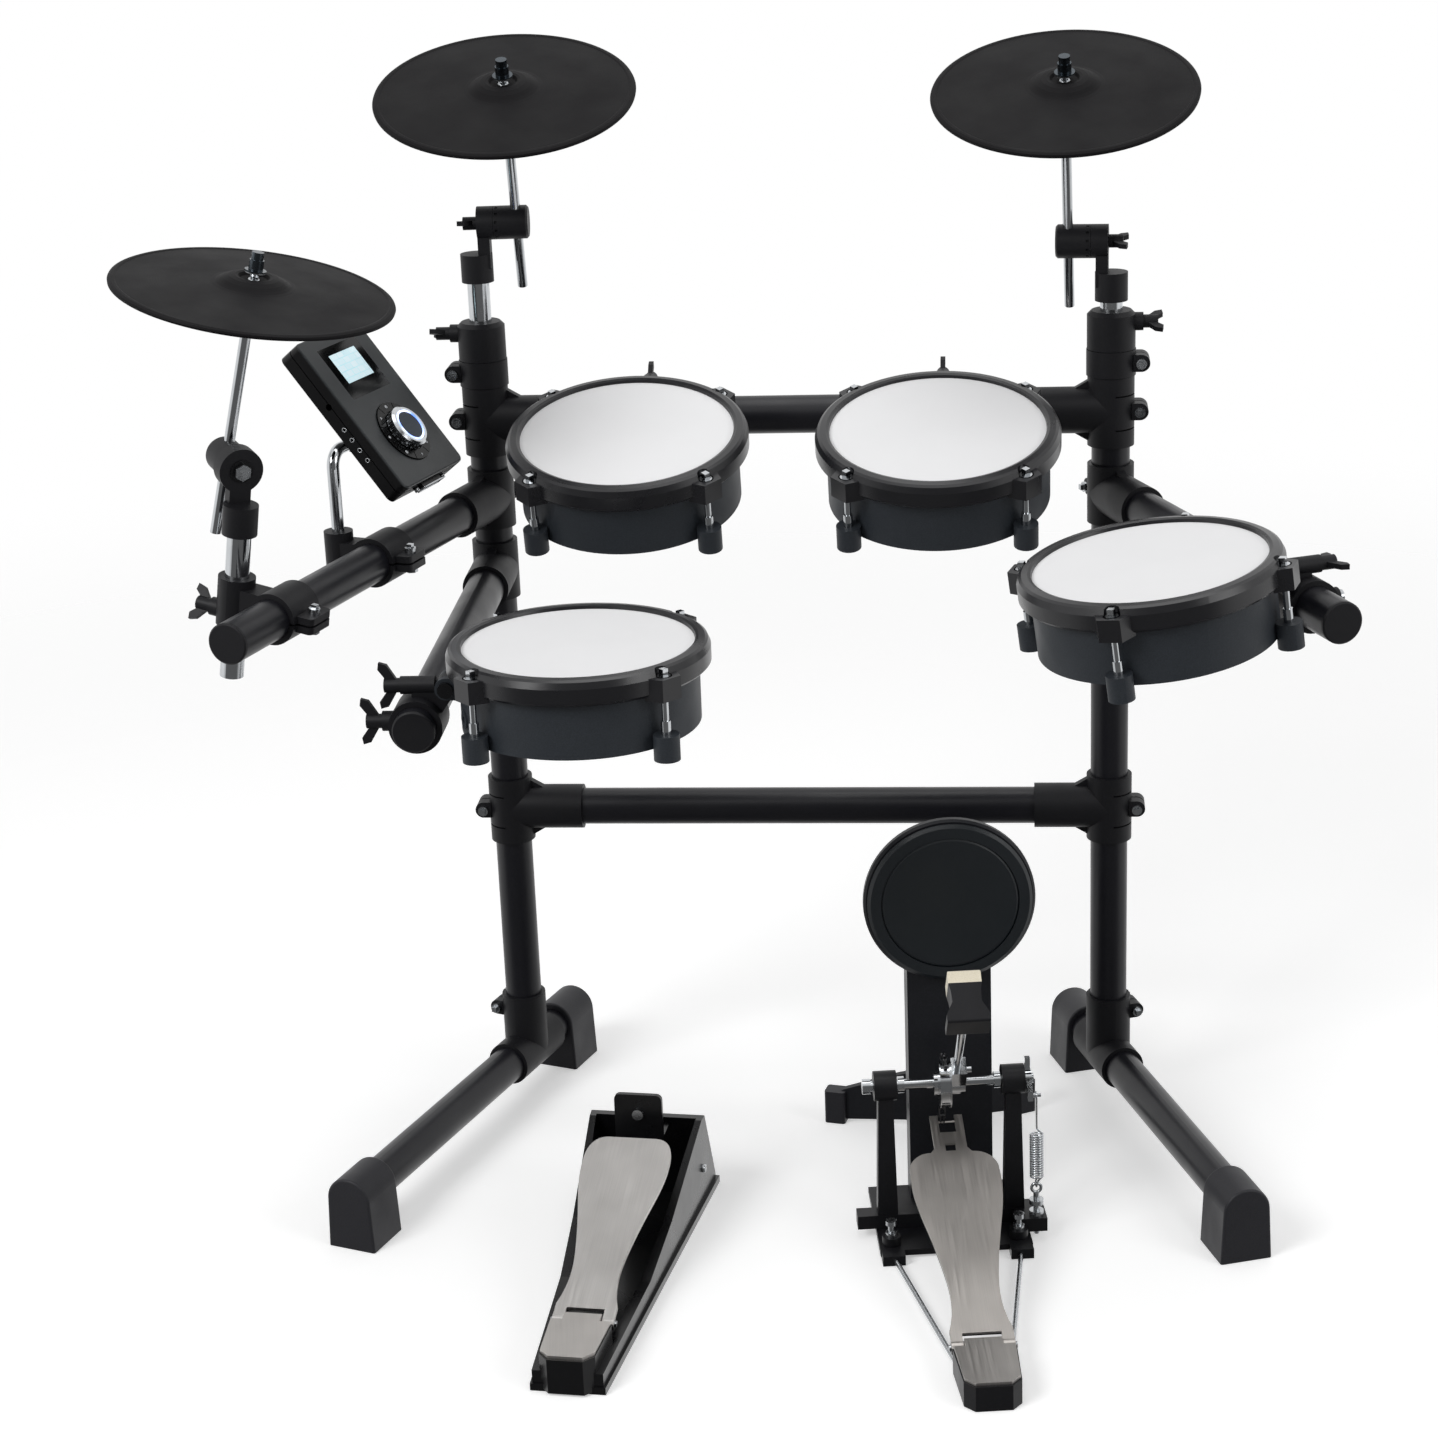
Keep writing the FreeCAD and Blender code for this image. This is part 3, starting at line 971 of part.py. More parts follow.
def chain_toe_height():
    """Height of the chain pin in the footboard toe at rest."""
    run = sprocket_radius - kick_heel_y
    return heel_height - 5.5 + run * math.tan(math.radians(board_angle)) + 3.0


def build_chain():
    """Inner links wrapped on the sprocket and the drop down to the footboard toe."""
    mid = chain_x
    r = sprocket_radius
    points = []
    for k in range(8):
        a = math.radians(17.0 * k)
        points.append((r * math.cos(a), axle_height + r * math.sin(a)))
    wrap = []
    for k in range(7):
        offsets = (-0.9, 0.1) if k % 2 == 0 else (-1.8, 1.0)
        wrap += [link_plate(points[k], points[k + 1], mid + x, mid + x + 0.8, 2.5) for x in offsets]
    wrap += [cyl((mid - 1.8, y, z), (1, 0, 0), 1.6, 3.6) for y, z in points]
    add("chain_wrap", placed(join(*wrap), kick))
    low = chain_toe_height()
    pitch = (axle_height - low) / 7.0
    pins = [(r, low + pitch * k) for k in range(6)] + [(r, axle_height)]
    drop = []
    for k in range(6):
        offsets = (-2.1, 1.1) if k % 2 == 0 else (-3.2, 2.2)
        drop += [link_plate(pins[k], pins[k + 1], mid + x, mid + x + 1.0, 2.5) for x in offsets]
    drop += [cyl((mid - 3.2, y, z), (1, 0, 0), 1.5, 6.4) for y, z in pins[1:6]]
    drop = join(*drop).cut(cyl((mid - 10, r, low), (1, 0, 0), 1.56, 20))
    add("chain_drop", placed(drop, kick))
    return low


def build_kick_board():
    """Kick footboard at rest, with the chain pin across its prongs."""
    lean = FreeCAD.Rotation(V(1, 0, 0), board_angle)
    hinge = FreeCAD.Placement(V(0, kick_heel_y, heel_height - 5.5), lean).multiply(
        FreeCAD.Placement(V(0, 0, board_thickness + 1.5), FreeCAD.Rotation()))
    board = placed(footboard(board_length, True), hinge)
    pin = cyl((-12, sprocket_radius, chain_toe_height()), (1, 0, 0), 1.5, 24)
    add("kick_footboard", placed(join(board, pin), kick))
    anchor("kick_pedal", kick, (0, kick_heel_y, heel_height - 5.5), (1, 0, 0))


def biarc(p, t, q, u):
    """Two arcs that join point p with direction t to point q with direction u."""
    v = q - p
    both = t + u
    lead = 2.0 * (1.0 - t.dot(u))
    if lead < 1e-9:
        d = v.dot(v) / (4.0 * v.dot(u))
    else:
        d = (-v.dot(both) + math.sqrt(v.dot(both) ** 2 + lead * v.dot(v))) / lead
    a = p + t * d
    b = q - u * d
    m = (a + b) * 0.5
    edges = []
    for start, corner, end in ((p, a, m), (m, b, q)):
        weight = (end - start).Length / 2.0 / d
        middle = (start + corner * (2.0 * weight) + end) * (1.0 / (2.0 + 2.0 * weight))
        bulge = (middle - (start + end) * 0.5).Length
        edges.append(Part.Arc(start, middle, end).toShape() if bulge > 1e-4 else Part.makeLine(start, end))
    return edges


def build_spring(spring_at, pin):
    """Extension spring between the rocker pin and the eye bolt: one wire, two hooks."""
    x = spring_at[0]
    bend = 3.2
    y = pin.y - bend
    r = 6.0
    low = 66.0
    foot_z = 57.6
    rise = spring_pitch / (2.0 * math.pi * r)
    stops = []
    for degrees in (250, 170, 90, 0):
        a = math.radians(degrees)
        stops.append((V(x, y + bend - bend * math.cos(a), foot_z - bend * math.sin(a)),
                      V(0, -math.sin(a), math.cos(a))))
    stops.append((V(x, y, foot_z + 1.5), V(0, 0, 1)))
    for k in range(4 * spring_turns + 1):
        a = math.radians(90 * k)
        stops.append((V(x + r * math.cos(a), y + r * math.sin(a), low + spring_pitch * k / 4.0),
                      V(-math.sin(a), math.cos(a), rise).normalize()))
    top = low + spring_pitch * spring_turns
    stops.append((V(x, y, top + 7.0), V(0, 0, 1)))
    for degrees in (0, 90, 170, 250):
        a = math.radians(degrees)
        stops.append((V(x, y + bend - bend * math.cos(a), pin.z + bend * math.sin(a)),
                      V(0, math.sin(a), math.cos(a))))
    edges = []
    for one, two in zip(stops, stops[1:]):
        edges += biarc(one[0], one[1], two[0], two[1])
    profile = Part.Wire([Part.makeCircle(spring_wire / 2.0, stops[0][0], stops[0][1])])
    body = Part.Wire(edges).makePipeShell([profile], True, False)
    print("spring least gap to itself", round(own_gap(edges, spring_wire), 2))
    add("pedal_spring", placed(body, kick))


def own_gap(edges, wire):
    """Least clear distance of a bent wire to itself, measured on points."""
    points = []
    for edge in edges:
        points += edge.discretize(7)[:-1]
    away = [0.0]
    for a, b in zip(points, points[1:]):
        away.append(away[-1] + (b - a).Length)
    least = 1e9
    for i in range(len(points)):
        for j in range(i + 1, len(points)):
            if away[j] - away[i] > 3.0 * wire:
                least = min(least, (points[i] - points[j]).Length)
    return least - wire


def build_hihat_pedal():
    """Hi-hat pedal: tub base, strap, heel plate and footboard."""
    place = yawed(hihat_x, hihat_y, 0, hihat_yaw)
    plan = [(-33, -70), (33, -70), (60, 336), (-60, 336)]
    outer = [(-70, 0), (336, 0), (336, 12), (304, 92), (292, 92), (170, 44), (90, 24), (-70, 20)]
    wall = prism([(x, y, 0) for x, y in plan], (0, 0, 120))
    side = prism([(-100, y, z) for y, z in outer], (200, 0, 0))
    base = wall.common(side)
    taper = [(-26, -10), (26, -10), (51, 296), (-51, 296)]
    well = prism([(x, y, 8) for x, y in taper], (0, 0, 120))
    base = base.cut(well)
    skirt = prism([(x * 1.06, y * 1.012 - 1.0, 0) for x, y in plan], (0, 0, 7.0))
    base = join(base, skirt).cut(well)
    spot = place.multiply(FreeCAD.Placement(V(0, 0, hihat_heel_height), FreeCAD.Rotation()))
    plate, pin, bed = heel(spot, -hihat_heel_height + 2.0)
    add("heel_plates", plate)
    add("pedal_rods", pin)
    base = placed(base, place)
    add("hihat_pedal_base", join(base, bed))
    strap = block(-24, 24, 262, 267, 86, 132)
    strap = softened(strap, 6.0, lambda e: e.BoundBox.YLength > 4 and e.BoundBox.ZMin > 120)
    strap = join(strap, block(-24, 24, 262, 295.9, 82, 87))
    strap = strap.cut(cyl((0, 250, 112), (0, 1, 0), 3.1, 30))
    screw = join(cyl((0, 257.5, 112), (0, 1, 0), 5.5, 4.4), cyl((0, 257.5, 112), (0, 1, 0), 3.0, 16))
    add("hihat_pedal_base", placed(strap, place))
    add("pedal_rods", placed(screw, place))
    lean = FreeCAD.Rotation(V(1, 0, 0), hihat_board_angle)
    hinge = FreeCAD.Placement(V(0, 0, -5.5), lean).multiply(
        FreeCAD.Placement(V(0, 0, board_thickness + 1.5), FreeCAD.Rotation()))
    add("hihat_footboard", placed(placed(footboard(hihat_board_length, False), hinge), spot))
    anchor("hihat_pedal", spot, (0, 0, -5.5), (1, 0, 0))


build_rack()
build_arms()
build_post_clamps()
build_stands()
build_pads()
build_hihat_clamp()
build_module()
build_kick_tower()
spring_foot = build_pedal_frame()
rocker_pin = build_beater()
chain_toe = build_chain()
build_kick_board()
build_spring(spring_foot, rocker_pin)
build_hihat_pedal()
anchor("chain_drop", kick, (chain_x, sprocket_radius, chain_toe), (1, 0, 0))

box = FreeCAD.BoundBox()
for solids in nodes.values():
    for solid in solids:
        box.add(solid.optimalBoundingBox(False))
shift = V(-(box.XMin + box.XMax) / 2.0, -(box.YMin + box.YMax) / 2.0, -box.ZMin)
for name in sorted(nodes):
    group = Part.makeCompound(nodes[name])
    group.translate(shift)
    bad = [s for s in group.Solids if not s.isValid()]
    print(name, "solids", len(group.Solids), "bad", len(bad))
    group.exportStep("parts/" + name + ".step")
print("size", round(box.XLength, 1), round(box.YLength, 1), round(box.ZLength, 1), "nodes", len(nodes))
for name, point, axis in anchors:
    p = point + shift
    print("pivot", json.dumps([name, [round(c, 3) for c in p], [round(c, 6) for c in axis]]))
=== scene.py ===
"""Looks of the electronic drum kit: its finishes, the trim of its module and the wire of its pedal spring."""

import json
import logging
import math
from abc import ABC, abstractmethod
from dataclasses import dataclass, field
from enum import Enum
from typing import Any, Dict, List, Optional, Sequence, Tuple

import bpy
import numpy as np
from mathutils import Matrix, Vector


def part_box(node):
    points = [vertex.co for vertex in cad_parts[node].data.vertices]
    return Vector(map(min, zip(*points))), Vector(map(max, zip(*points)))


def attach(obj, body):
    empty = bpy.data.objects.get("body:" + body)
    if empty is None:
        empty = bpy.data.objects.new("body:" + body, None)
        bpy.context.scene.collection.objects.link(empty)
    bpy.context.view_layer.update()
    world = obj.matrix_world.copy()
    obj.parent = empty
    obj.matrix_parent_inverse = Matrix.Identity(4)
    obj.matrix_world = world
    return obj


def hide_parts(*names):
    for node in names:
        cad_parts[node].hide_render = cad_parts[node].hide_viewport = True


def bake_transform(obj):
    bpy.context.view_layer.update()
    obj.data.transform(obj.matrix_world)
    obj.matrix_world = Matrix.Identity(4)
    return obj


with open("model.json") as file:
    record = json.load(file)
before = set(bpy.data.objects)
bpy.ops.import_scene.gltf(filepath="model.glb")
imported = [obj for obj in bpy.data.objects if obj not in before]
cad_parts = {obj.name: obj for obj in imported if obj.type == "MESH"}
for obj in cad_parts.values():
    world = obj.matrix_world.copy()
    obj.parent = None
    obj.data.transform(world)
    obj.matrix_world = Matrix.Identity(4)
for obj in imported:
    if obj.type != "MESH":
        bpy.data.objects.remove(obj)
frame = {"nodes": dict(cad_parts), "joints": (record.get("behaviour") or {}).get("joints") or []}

log = logging.getLogger("drum_kit")

MM = 0.001
QUARTER_TURN = math.pi / 2.0
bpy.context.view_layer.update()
CYMBALS = ("hihat", "crash_1", "crash_2")
DRUMS = ("snare", "tom_1", "tom_2", "floor_tom")

Colour = Tuple[float, float, float, float]
Point = Tuple[float, float, float]
Node = bpy.types.Node
Socket = bpy.types.NodeSocket
Tree = bpy.types.NodeTree


class Body(Enum):
    """Bodies of the part that carry pieces made here."""

    RACK = "rack"
    MODULE = "module"
    DIAL = "dial"
    MENU = "menu"
    BEATER = "beater"


class Slot(Enum):
    """Names of material slots of the record: chrome, case plastic and screen."""

    CHROME = "chrome"
    CASE = "case_plastic"
    SCREEN = "screen"


def linear(code: str) -> Colour:
    """Turn an sRGB hex colour into linear values.

    Args:
        code: Colour such as "#1b1b1d".

    Returns:
        Red, green, blue and alpha, linear.
    """
    parts = [int(code[k:k + 2], 16) / 255.0 for k in (1, 3, 5)]
    values = [p / 12.92 if p <= 0.04045 else ((p + 0.055) / 1.055) ** 2.4 for p in parts]
    return values[0], values[1], values[2], 1.0


def scaled(colour: Colour, factor: float) -> Colour:
    """Return a colour made lighter or darker."""
    return colour[0] * factor, colour[1] * factor, colour[2] * factor, 1.0


def feed(tree: Tree, node: Node, inputs: Dict[Any, Any]) -> None:
    """Set or link the inputs of a node.

    Args:
        tree: Node tree that holds the node.
        node: Node that gets the inputs.
        inputs: Values or sockets by input name or number; a node stands for its first output.
    """
    for key, value in inputs.items():
        source = value.outputs[0] if isinstance(value, Node) else value
        if isinstance(source, Socket):
            tree.links.new(source, node.inputs[key])
        else:
            node.inputs[key].default_value = source


def add_node(tree: Tree, kind: str, inputs: Optional[Dict[Any, Any]] = None,
             **settings: Any) -> Node:
    """Add one node with its settings, input values and links.

    Args:
        tree: Node tree that gets the node.
        kind: Blender's name of the node type.
        inputs: Values, sockets or nodes by input name, or by number where names repeat.
        **settings: Properties of the node.

    Returns:
        The new node.
    """
    node = tree.nodes.new(kind)
    for key, value in settings.items():
        setattr(node, key, value)
    feed(tree, node, inputs or {})
    return node


@dataclass(frozen=True)
class LocalFrame:
    """A right-handed frame on one piece; its points are in millimetres."""

    origin: Point
    x: Point
    y: Point

    def matrix(self) -> Matrix:
        """Return the matrix from this frame, in metres, to the row frame."""
        x, y = Vector(self.x), Vector(self.y)
        return Matrix.Translation(Vector(self.origin)) @ Matrix((x, y, x.cross(y))).transposed().to_4x4()

    def moved(self, x: float, y: float, z: float) -> Matrix:
        """Return this frame's matrix moved by millimetres along its own axes."""
        return self.matrix() @ Matrix.Translation((x * MM, y * MM, z * MM))

    def coords(self, tree: Tree, unit_mm: Point = (1, 1, 1)) -> Node:
        """Place a pattern on a piece.

        Args:
            tree: Tree of the material.
            unit_mm: Millimetres along each axis that become one unit.

        Returns:
            Node that gives the place of a surface point in this frame.
        """
        own = add_node(tree, "ShaderNodeTexCoord").outputs["Object"]
        turn = tuple(self.matrix().to_euler("XYZ"))
        scale = tuple(MM * unit for unit in unit_mm)
        return add_node(tree, "ShaderNodeMapping",
                        {"Vector": own, "Location": self.origin, "Rotation": turn, "Scale": scale},
                        vector_type="TEXTURE")


ROW = LocalFrame((0, 0, 0), (1, 0, 0), (0, 1, 0))
# Units that flatten the z of a frame, so that a distance in it is a radius.
FLAT = (1, 1, 1e4)
# Name under which a finish gives the height of its relief.
HEIGHT = "Height"


def joint(name: str) -> Dict[str, Any]:
    """Return one joint of the part by name."""
    return next(j for j in frame["joints"] if j["name"] == name)


def node_points(node: str) -> np.ndarray:
    """Read the vertices of a CAD node.

    Args:
        node: Name of the node.

    Returns:
        One row for each vertex, in metres.
    """
    vertices = frame["nodes"][node].data.vertices
    points = np.empty(len(vertices) * 3)
    vertices.foreach_get("co", points)
    return points.reshape(-1, 3)


def hinge_frame(name: str) -> LocalFrame:
    """Find a level frame at a joint.

    Args:
        name: Name of the joint.

    Returns:
        Frame with x along the joint's axis.
    """
    one = joint(name)
    x = Vector(one["axis"]).normalized()
    y = Vector((0, 0, 1)).cross(x).normalized()
    return LocalFrame(tuple(one["pos_m"]), tuple(x), tuple(y))


def disc_frame(node: str, rim_m: float = 0.09) -> LocalFrame:
    """Find the frame of a round flat node from its vertices.

    Args:
        node: CAD node whose thinnest direction becomes z, pointing up.
        rim_m: Distance from the middle beyond which a vertex belongs to the rim.

    Returns:
        Frame at the middle of the node's rim.
    """
    points = node_points(node)
    reach = points - points.mean(axis=0)
    far = reach[np.linalg.norm(reach, axis=1) > rim_m]
    middle = points.mean(axis=0) + (far.max(axis=0) + far.min(axis=0)) / 2.0
    normal = np.linalg.svd(far - far.mean(axis=0), full_matrices=False)[2][2]
    z = Vector(normal if normal[2] > 0 else -normal)
    x = Vector((0, 1, 0)).cross(z).normalized()
    return LocalFrame(tuple(middle), tuple(x), tuple(z.cross(x)))


def board_frame(node: str, hinge: str) -> LocalFrame:
    """Find the frame of a sloping footboard.

    Args:
        node: CAD node of the board.
        hinge: Joint whose axis lies across the board.

    Returns:
        Frame on the top of the board, with y up its slope and z out of it.
    """
    points = node_points(node)
    x = Vector(joint(hinge)["axis"]).normalized()
    level = Vector((0, 0, 1)).cross(x).normalized()
    top = max(frame["nodes"][node].data.polygons, key=lambda face: face.area)
    z = top.normal if top.normal.z > 0 else -top.normal
    y = z.cross(x).normalized() if z.cross(x).dot(level) > 0 else x.cross(z).normalized()
    normal = x.cross(y)
    heights = points @ np.array(normal)
    flat = float(np.median(heights[heights > heights.mean()]))
    origin = Vector(points.mean(axis=0))
    return LocalFrame(tuple(origin + normal * (flat - origin.dot(normal))), tuple(x), tuple(y))


def module_frame() -> LocalFrame:
    """Find the frame of the module's face.

    Returns:
        Frame with x along the module's width, y up its length and the dial at the origin.
    """
    x = Vector(joint("module_tilt")["axis"]).normalized()
    z = Vector(joint("dial_turn")["axis"]).normalized()
    return LocalFrame(tuple(joint("dial_turn")["pos_m"]), tuple(x), tuple(z.cross(x)))


def tint(tree: Tree, value: Any, first: Any, second: Any,
         between: Tuple[float, float] = (0.0, 1.0)) -> Socket:
    """Let a colour change as a value rises.

    Args:
        tree: Tree of the material.
        value: Node or socket with the value.
        first: Colour below the change.
        second: Colour above the change.
        between: Values at which the change begins and ends.

    Returns:
        The colour.
    """
    share = add_node(tree, "ShaderNodeMapRange",
                     {"Value": value, "From Min": between[0], "From Max": between[1]})
    return add_node(tree, "ShaderNodeMix", {0: share, 6: first, 7: second}, data_type="RGBA").outputs[2]


def ripples(tree: Tree, distance: Any, wave_mm: float) -> Node:
    """Return even waves along a distance in millimetres."""
    phase = add_node(tree, "ShaderNodeMath", {0: distance, 1: 2.0 * math.pi / wave_mm}, operation="MULTIPLY")
    return add_node(tree, "ShaderNodeMath", {0: phase}, operation="SINE")


@dataclass(frozen=True)
class Finish(ABC):
    """A finish named for its real material, with a base colour, its gloss and the depth of its relief."""

    name: str
    colour: str
    roughness: float
    specular: float = 0.5
    metallic: float = 0.0
    relief: float = 0.3
    depth_mm: float = 0.03
    gloss_from: Tuple[float, float] = (0.3, 0.7)
    gloss_span: Tuple[float, float] = (0.86, 1.14)

    def material(self) -> bpy.types.Material:
        """Build the material once.

        Returns:
            The material.
        """
        known = bpy.data.materials.get(self.name)
        if known:
            return known
        material = bpy.data.materials.new(self.name)
        material.use_nodes = True
        tree = material.node_tree
        tree.nodes.clear()
        shader = add_node(tree, "ShaderNodeBsdfPrincipled",
                          {"Base Color": linear(self.colour), "Roughness": self.roughness,
                           "Specular IOR Level": self.specular, "Metallic": self.metallic})
        inputs = self.shade(tree)
        if HEIGHT in inputs:
            inputs["Normal"] = add_node(tree, "ShaderNodeBump",
                                        {"Height": inputs.pop(HEIGHT), "Strength": self.relief,
                                         "Distance": self.depth_mm * MM})
        feed(tree, shader, inputs)
        add_node(tree, "ShaderNodeOutputMaterial", {"Surface": shader})
        return material

    def gloss(self, tree: Tree, value: Node) -> Node:
        """Let the roughness change as a value rises.

        Args:
            tree: Tree of the material.
            value: Node with the value.

        Returns:
            The roughness, from the lower share in gloss_span to the higher one.
        """
        low, high = (self.roughness * share for share in self.gloss_span)
        return add_node(tree, "ShaderNodeMapRange",
                        {"Value": value, "From Min": self.gloss_from[0], "From Max": self.gloss_from[1],
                         "To Min": low, "To Max": high})

    @abstractmethod
    def shade(self, tree: Tree) -> Dict[str, Any]:
        """Return what makes this finish more than one flat colour: shader inputs, and HEIGHT for a relief."""


@dataclass(frozen=True)
class Moulding(Finish):
    """Paint, nylon, rubber or ABS: an even colour with a fine grain and slight changes of gloss."""

    relief: float = 0.6
    grain_mm: float = 1.0
    coat: float = 0.0
    coat_roughness: float = 0.12
    lift: float = 0.35
    patch_mm: float = 45.0

    def shade(self, tree: Tree) -> Dict[str, Any]:
        """Add grain, patches of gloss and a slight unevenness of colour.

        Args:
            tree: Tree of the material.

        Returns:
            Its shader inputs and, for a relief, its height.
        """
        even = ROW.coords(tree)
        grain = add_node(tree, "ShaderNodeTexNoise",
                         {"Vector": even, "Scale": 1.0 / self.grain_mm, "Detail": 2.0, "Roughness": 0.55})
        patches = add_node(tree, "ShaderNodeTexNoise",
                           {"Vector": even, "Scale": 1.0 / self.patch_mm, "Detail": 3.0})
        base = linear(self.colour)
        return {"Base Color": tint(tree, grain, base, scaled(base, 1.0 + self.lift), (0.35, 0.7)),
                "Roughness": self.gloss(tree, patches), HEIGHT: grain, "Coat Weight": self.coat,
                "Coat Roughness": self.coat_roughness}


@dataclass(frozen=True)
class TurnedRubber(Finish):
    """Moulded rubber of a cymbal pad: matte, with faint rings round the bell."""

    specular: float = 0.13
    relief: float = 0.5
    depth_mm: float = 0.08
    gloss_span: Tuple[float, float] = (0.9032, 1.129)
    place: LocalFrame = ROW
    ring_mm: float = 2.4
    ring_share: float = 0.25
    grain_mm: float = 0.9
    bloom_mm: float = 60.0
    dusty: float = 1.5

    def shade(self, tree: Tree) -> Dict[str, Any]:
        """Add rings round the middle, moulding grain and a dusty bloom.

        Args:
            tree: Tree of the material.

        Returns:
            Its shader inputs and, for a relief, its height.
        """
        local = self.place.coords(tree, FLAT)
        radius = add_node(tree, "ShaderNodeVectorMath", {0: local}, operation="LENGTH").outputs["Value"]
        grain = add_node(tree, "ShaderNodeTexNoise",
                         {"Vector": local, "Scale": 1.0 / self.grain_mm, "Detail": 2.0})
        rings = ripples(tree, radius, self.ring_mm)
        height = add_node(tree, "ShaderNodeMath", {0: rings, 1: self.ring_share, 2: grain},
                          operation="MULTIPLY_ADD")
        bloom = add_node(tree, "ShaderNodeTexNoise",
                         {"Vector": local, "Scale": 1.0 / self.bloom_mm, "Detail": 5.0})
        base = linear(self.colour)
        return {"Base Color": tint(tree, bloom, base, scaled(base, self.dusty), (0.35, 0.75)),
                "Roughness": self.gloss(tree, bloom), HEIGHT: height}


@dataclass(frozen=True)
class WovenMesh(Finish):
    """Two-ply polyester mesh head: a white open weave that scatters light evenly."""

    specular: float = 0.25
    depth_mm: float = 0.1
    place: LocalFrame = ROW
    shadow: str = "#efeff0"
    thread_mm: float = 1.5
    thread_share: float = 0.25
    cloud_mm: float = 70.0

    def shade(self, tree: Tree) -> Dict[str, Any]:
        """Add a plain weave and the soft shading of a stretched cloth.

        The real threads lie 0.4 mm apart; they are drawn wider so that they show.

        Args:
            tree: Tree of the material.

        Returns:
            Its shader inputs and, for a relief, its height.
        """
        local = self.place.coords(tree)
        axes = add_node(tree, "ShaderNodeSeparateXYZ", {0: local}).outputs
        warp, weft = (ripples(tree, axes[axis], self.thread_mm) for axis in ("X", "Y"))
        weave = add_node(tree, "ShaderNodeMath", {0: warp, 1: weft}, operation="MULTIPLY")
        cloud = add_node(tree, "ShaderNodeTexNoise",
                         {"Vector": local, "Scale": 1.0 / self.cloud_mm, "Detail": 2.0})
        tone = add_node(tree, "ShaderNodeMath", {0: weave, 1: self.thread_share, 2: cloud},
                        operation="MULTIPLY_ADD")
        return {"Base Color": tint(tree, tone, linear(self.shadow), linear(self.colour), (0.2, 0.8)),
                HEIGHT: weave}


@dataclass(frozen=True)
class PlatedMetal(Finish):
    """Chrome, zinc or blackened plate on steel: mirror-like with faint smears and hairline scratches."""

    metallic: float = 1.0
    relief: float = 0.4
    gloss_from: Tuple[float, float] = (0.3, 0.75)
    gloss_span: Tuple[float, float] = (0.7, 1.6)
    smear_mm: float = 9.0
    dull: float = 0.82
    hair_mm: float = 0.625

    def shade(self, tree: Tree) -> Dict[str, Any]:
        """Add smears to the gloss and fine scratches to the plate.

        Args:
            tree: Tree of the material.

        Returns:
            Its shader inputs and, for a relief, its height.
        """
        even = ROW.coords(tree)
        smear = add_node(tree, "ShaderNodeTexNoise",
                         {"Vector": even, "Scale": 1.0 / self.smear_mm, "Detail": 4.0})
        hair = add_node(tree, "ShaderNodeTexNoise",
                        {"Vector": even, "Scale": 1.0 / self.hair_mm, "Detail": 2.0})
        base = linear(self.colour)
        return {"Base Color": tint(tree, smear, base, scaled(base, self.dull)),
                "Roughness": self.gloss(tree, smear), HEIGHT: hair}


@dataclass(frozen=True)
class BrushedSteel(Finish):
    """Brushed stainless plate with fine streaks along its length; black more than plate_mm below its top."""

    specular: float = 0.3
    relief: float = 0.25
    depth_mm: float = 0.05
    gloss_span: Tuple[float, float] = (0.8, 1.2)
    place: LocalFrame = ROW
    # Colour of the surfaces that lie more than plate_mm below the top of the plate.
    below_plate_colour: str = "#0b0b0c"
    streak_mm: Point = (0.9, 70, 70)
    streak_share: float = 0.6
    cloud_mm: Point = (55, 80, 80)
    dull: float = 0.72
    plate_mm: float = 1.2

    def shade(self, tree: Tree) -> Dict[str, Any]:
        """Add streaks along the plate; the real ones are finer than the render can show.

        Args:
            tree: Tree of the material.

        Returns:
            Its shader inputs and, for a relief, its height.
        """
        streaks = add_node(tree, "ShaderNodeTexNoise",
                           {"Vector": self.place.coords(tree, self.streak_mm), "Scale": 1.0, "Detail": 3.0})
        cloud = add_node(tree, "ShaderNodeTexNoise",
                         {"Vector": self.place.coords(tree, self.cloud_mm), "Scale": 1.0, "Detail": 2.0})
        tone = add_node(tree, "ShaderNodeMath", {0: streaks, 1: self.streak_share, 2: cloud},
                        operation="MULTIPLY_ADD")
        base = linear(self.colour)
        steel = tint(tree, tone, scaled(base, self.dull), base, (0.45, 1.15))
        height = add_node(tree, "ShaderNodeSeparateXYZ", {0: self.place.coords(tree)}).outputs["Z"]
        # Surfaces more than plate_mm below the top, the sides of a board, are black and not metallic.
        plate = add_node(tree, "ShaderNodeMath", {0: height, 1: -self.plate_mm}, operation="GREATER_THAN")
        return {"Base Color": tint(tree, plate, linear(self.below_plate_colour), steel),
                "Roughness": self.gloss(tree, streaks), HEIGHT: streaks, "Metallic": plate}


@dataclass(frozen=True)
class PressedFelt(Finish):
    """Pressed wool felt: fibrous, without gloss, with a soft edge of light."""

    specular: float = 0.1
    relief: float = 0.8
    depth_mm: float = 0.3
    shadow: str = "#e9dfc4"
    fibre_mm: float = 0.7
    sheen: float = 0.4
    sheen_roughness: float = 0.5

    def shade(self, tree: Tree) -> Dict[str, Any]:
        """Add matted fibres and their shadows.

        Args:
            tree: Tree of the material.

        Returns:
            Its shader inputs and, for a relief, its height.
        """
        even = ROW.coords(tree)
        fibre = add_node(tree, "ShaderNodeTexNoise",
                         {"Vector": even, "Scale": 1.0 / self.fibre_mm, "Detail": 5.0, "Distortion": 1.2})
        return {"Base Color": tint(tree, fibre, linear(self.shadow), linear(self.colour), (0.3, 0.7)),
                HEIGHT: fibre, "Sheen Weight": self.sheen, "Sheen Roughness": self.sheen_roughness}


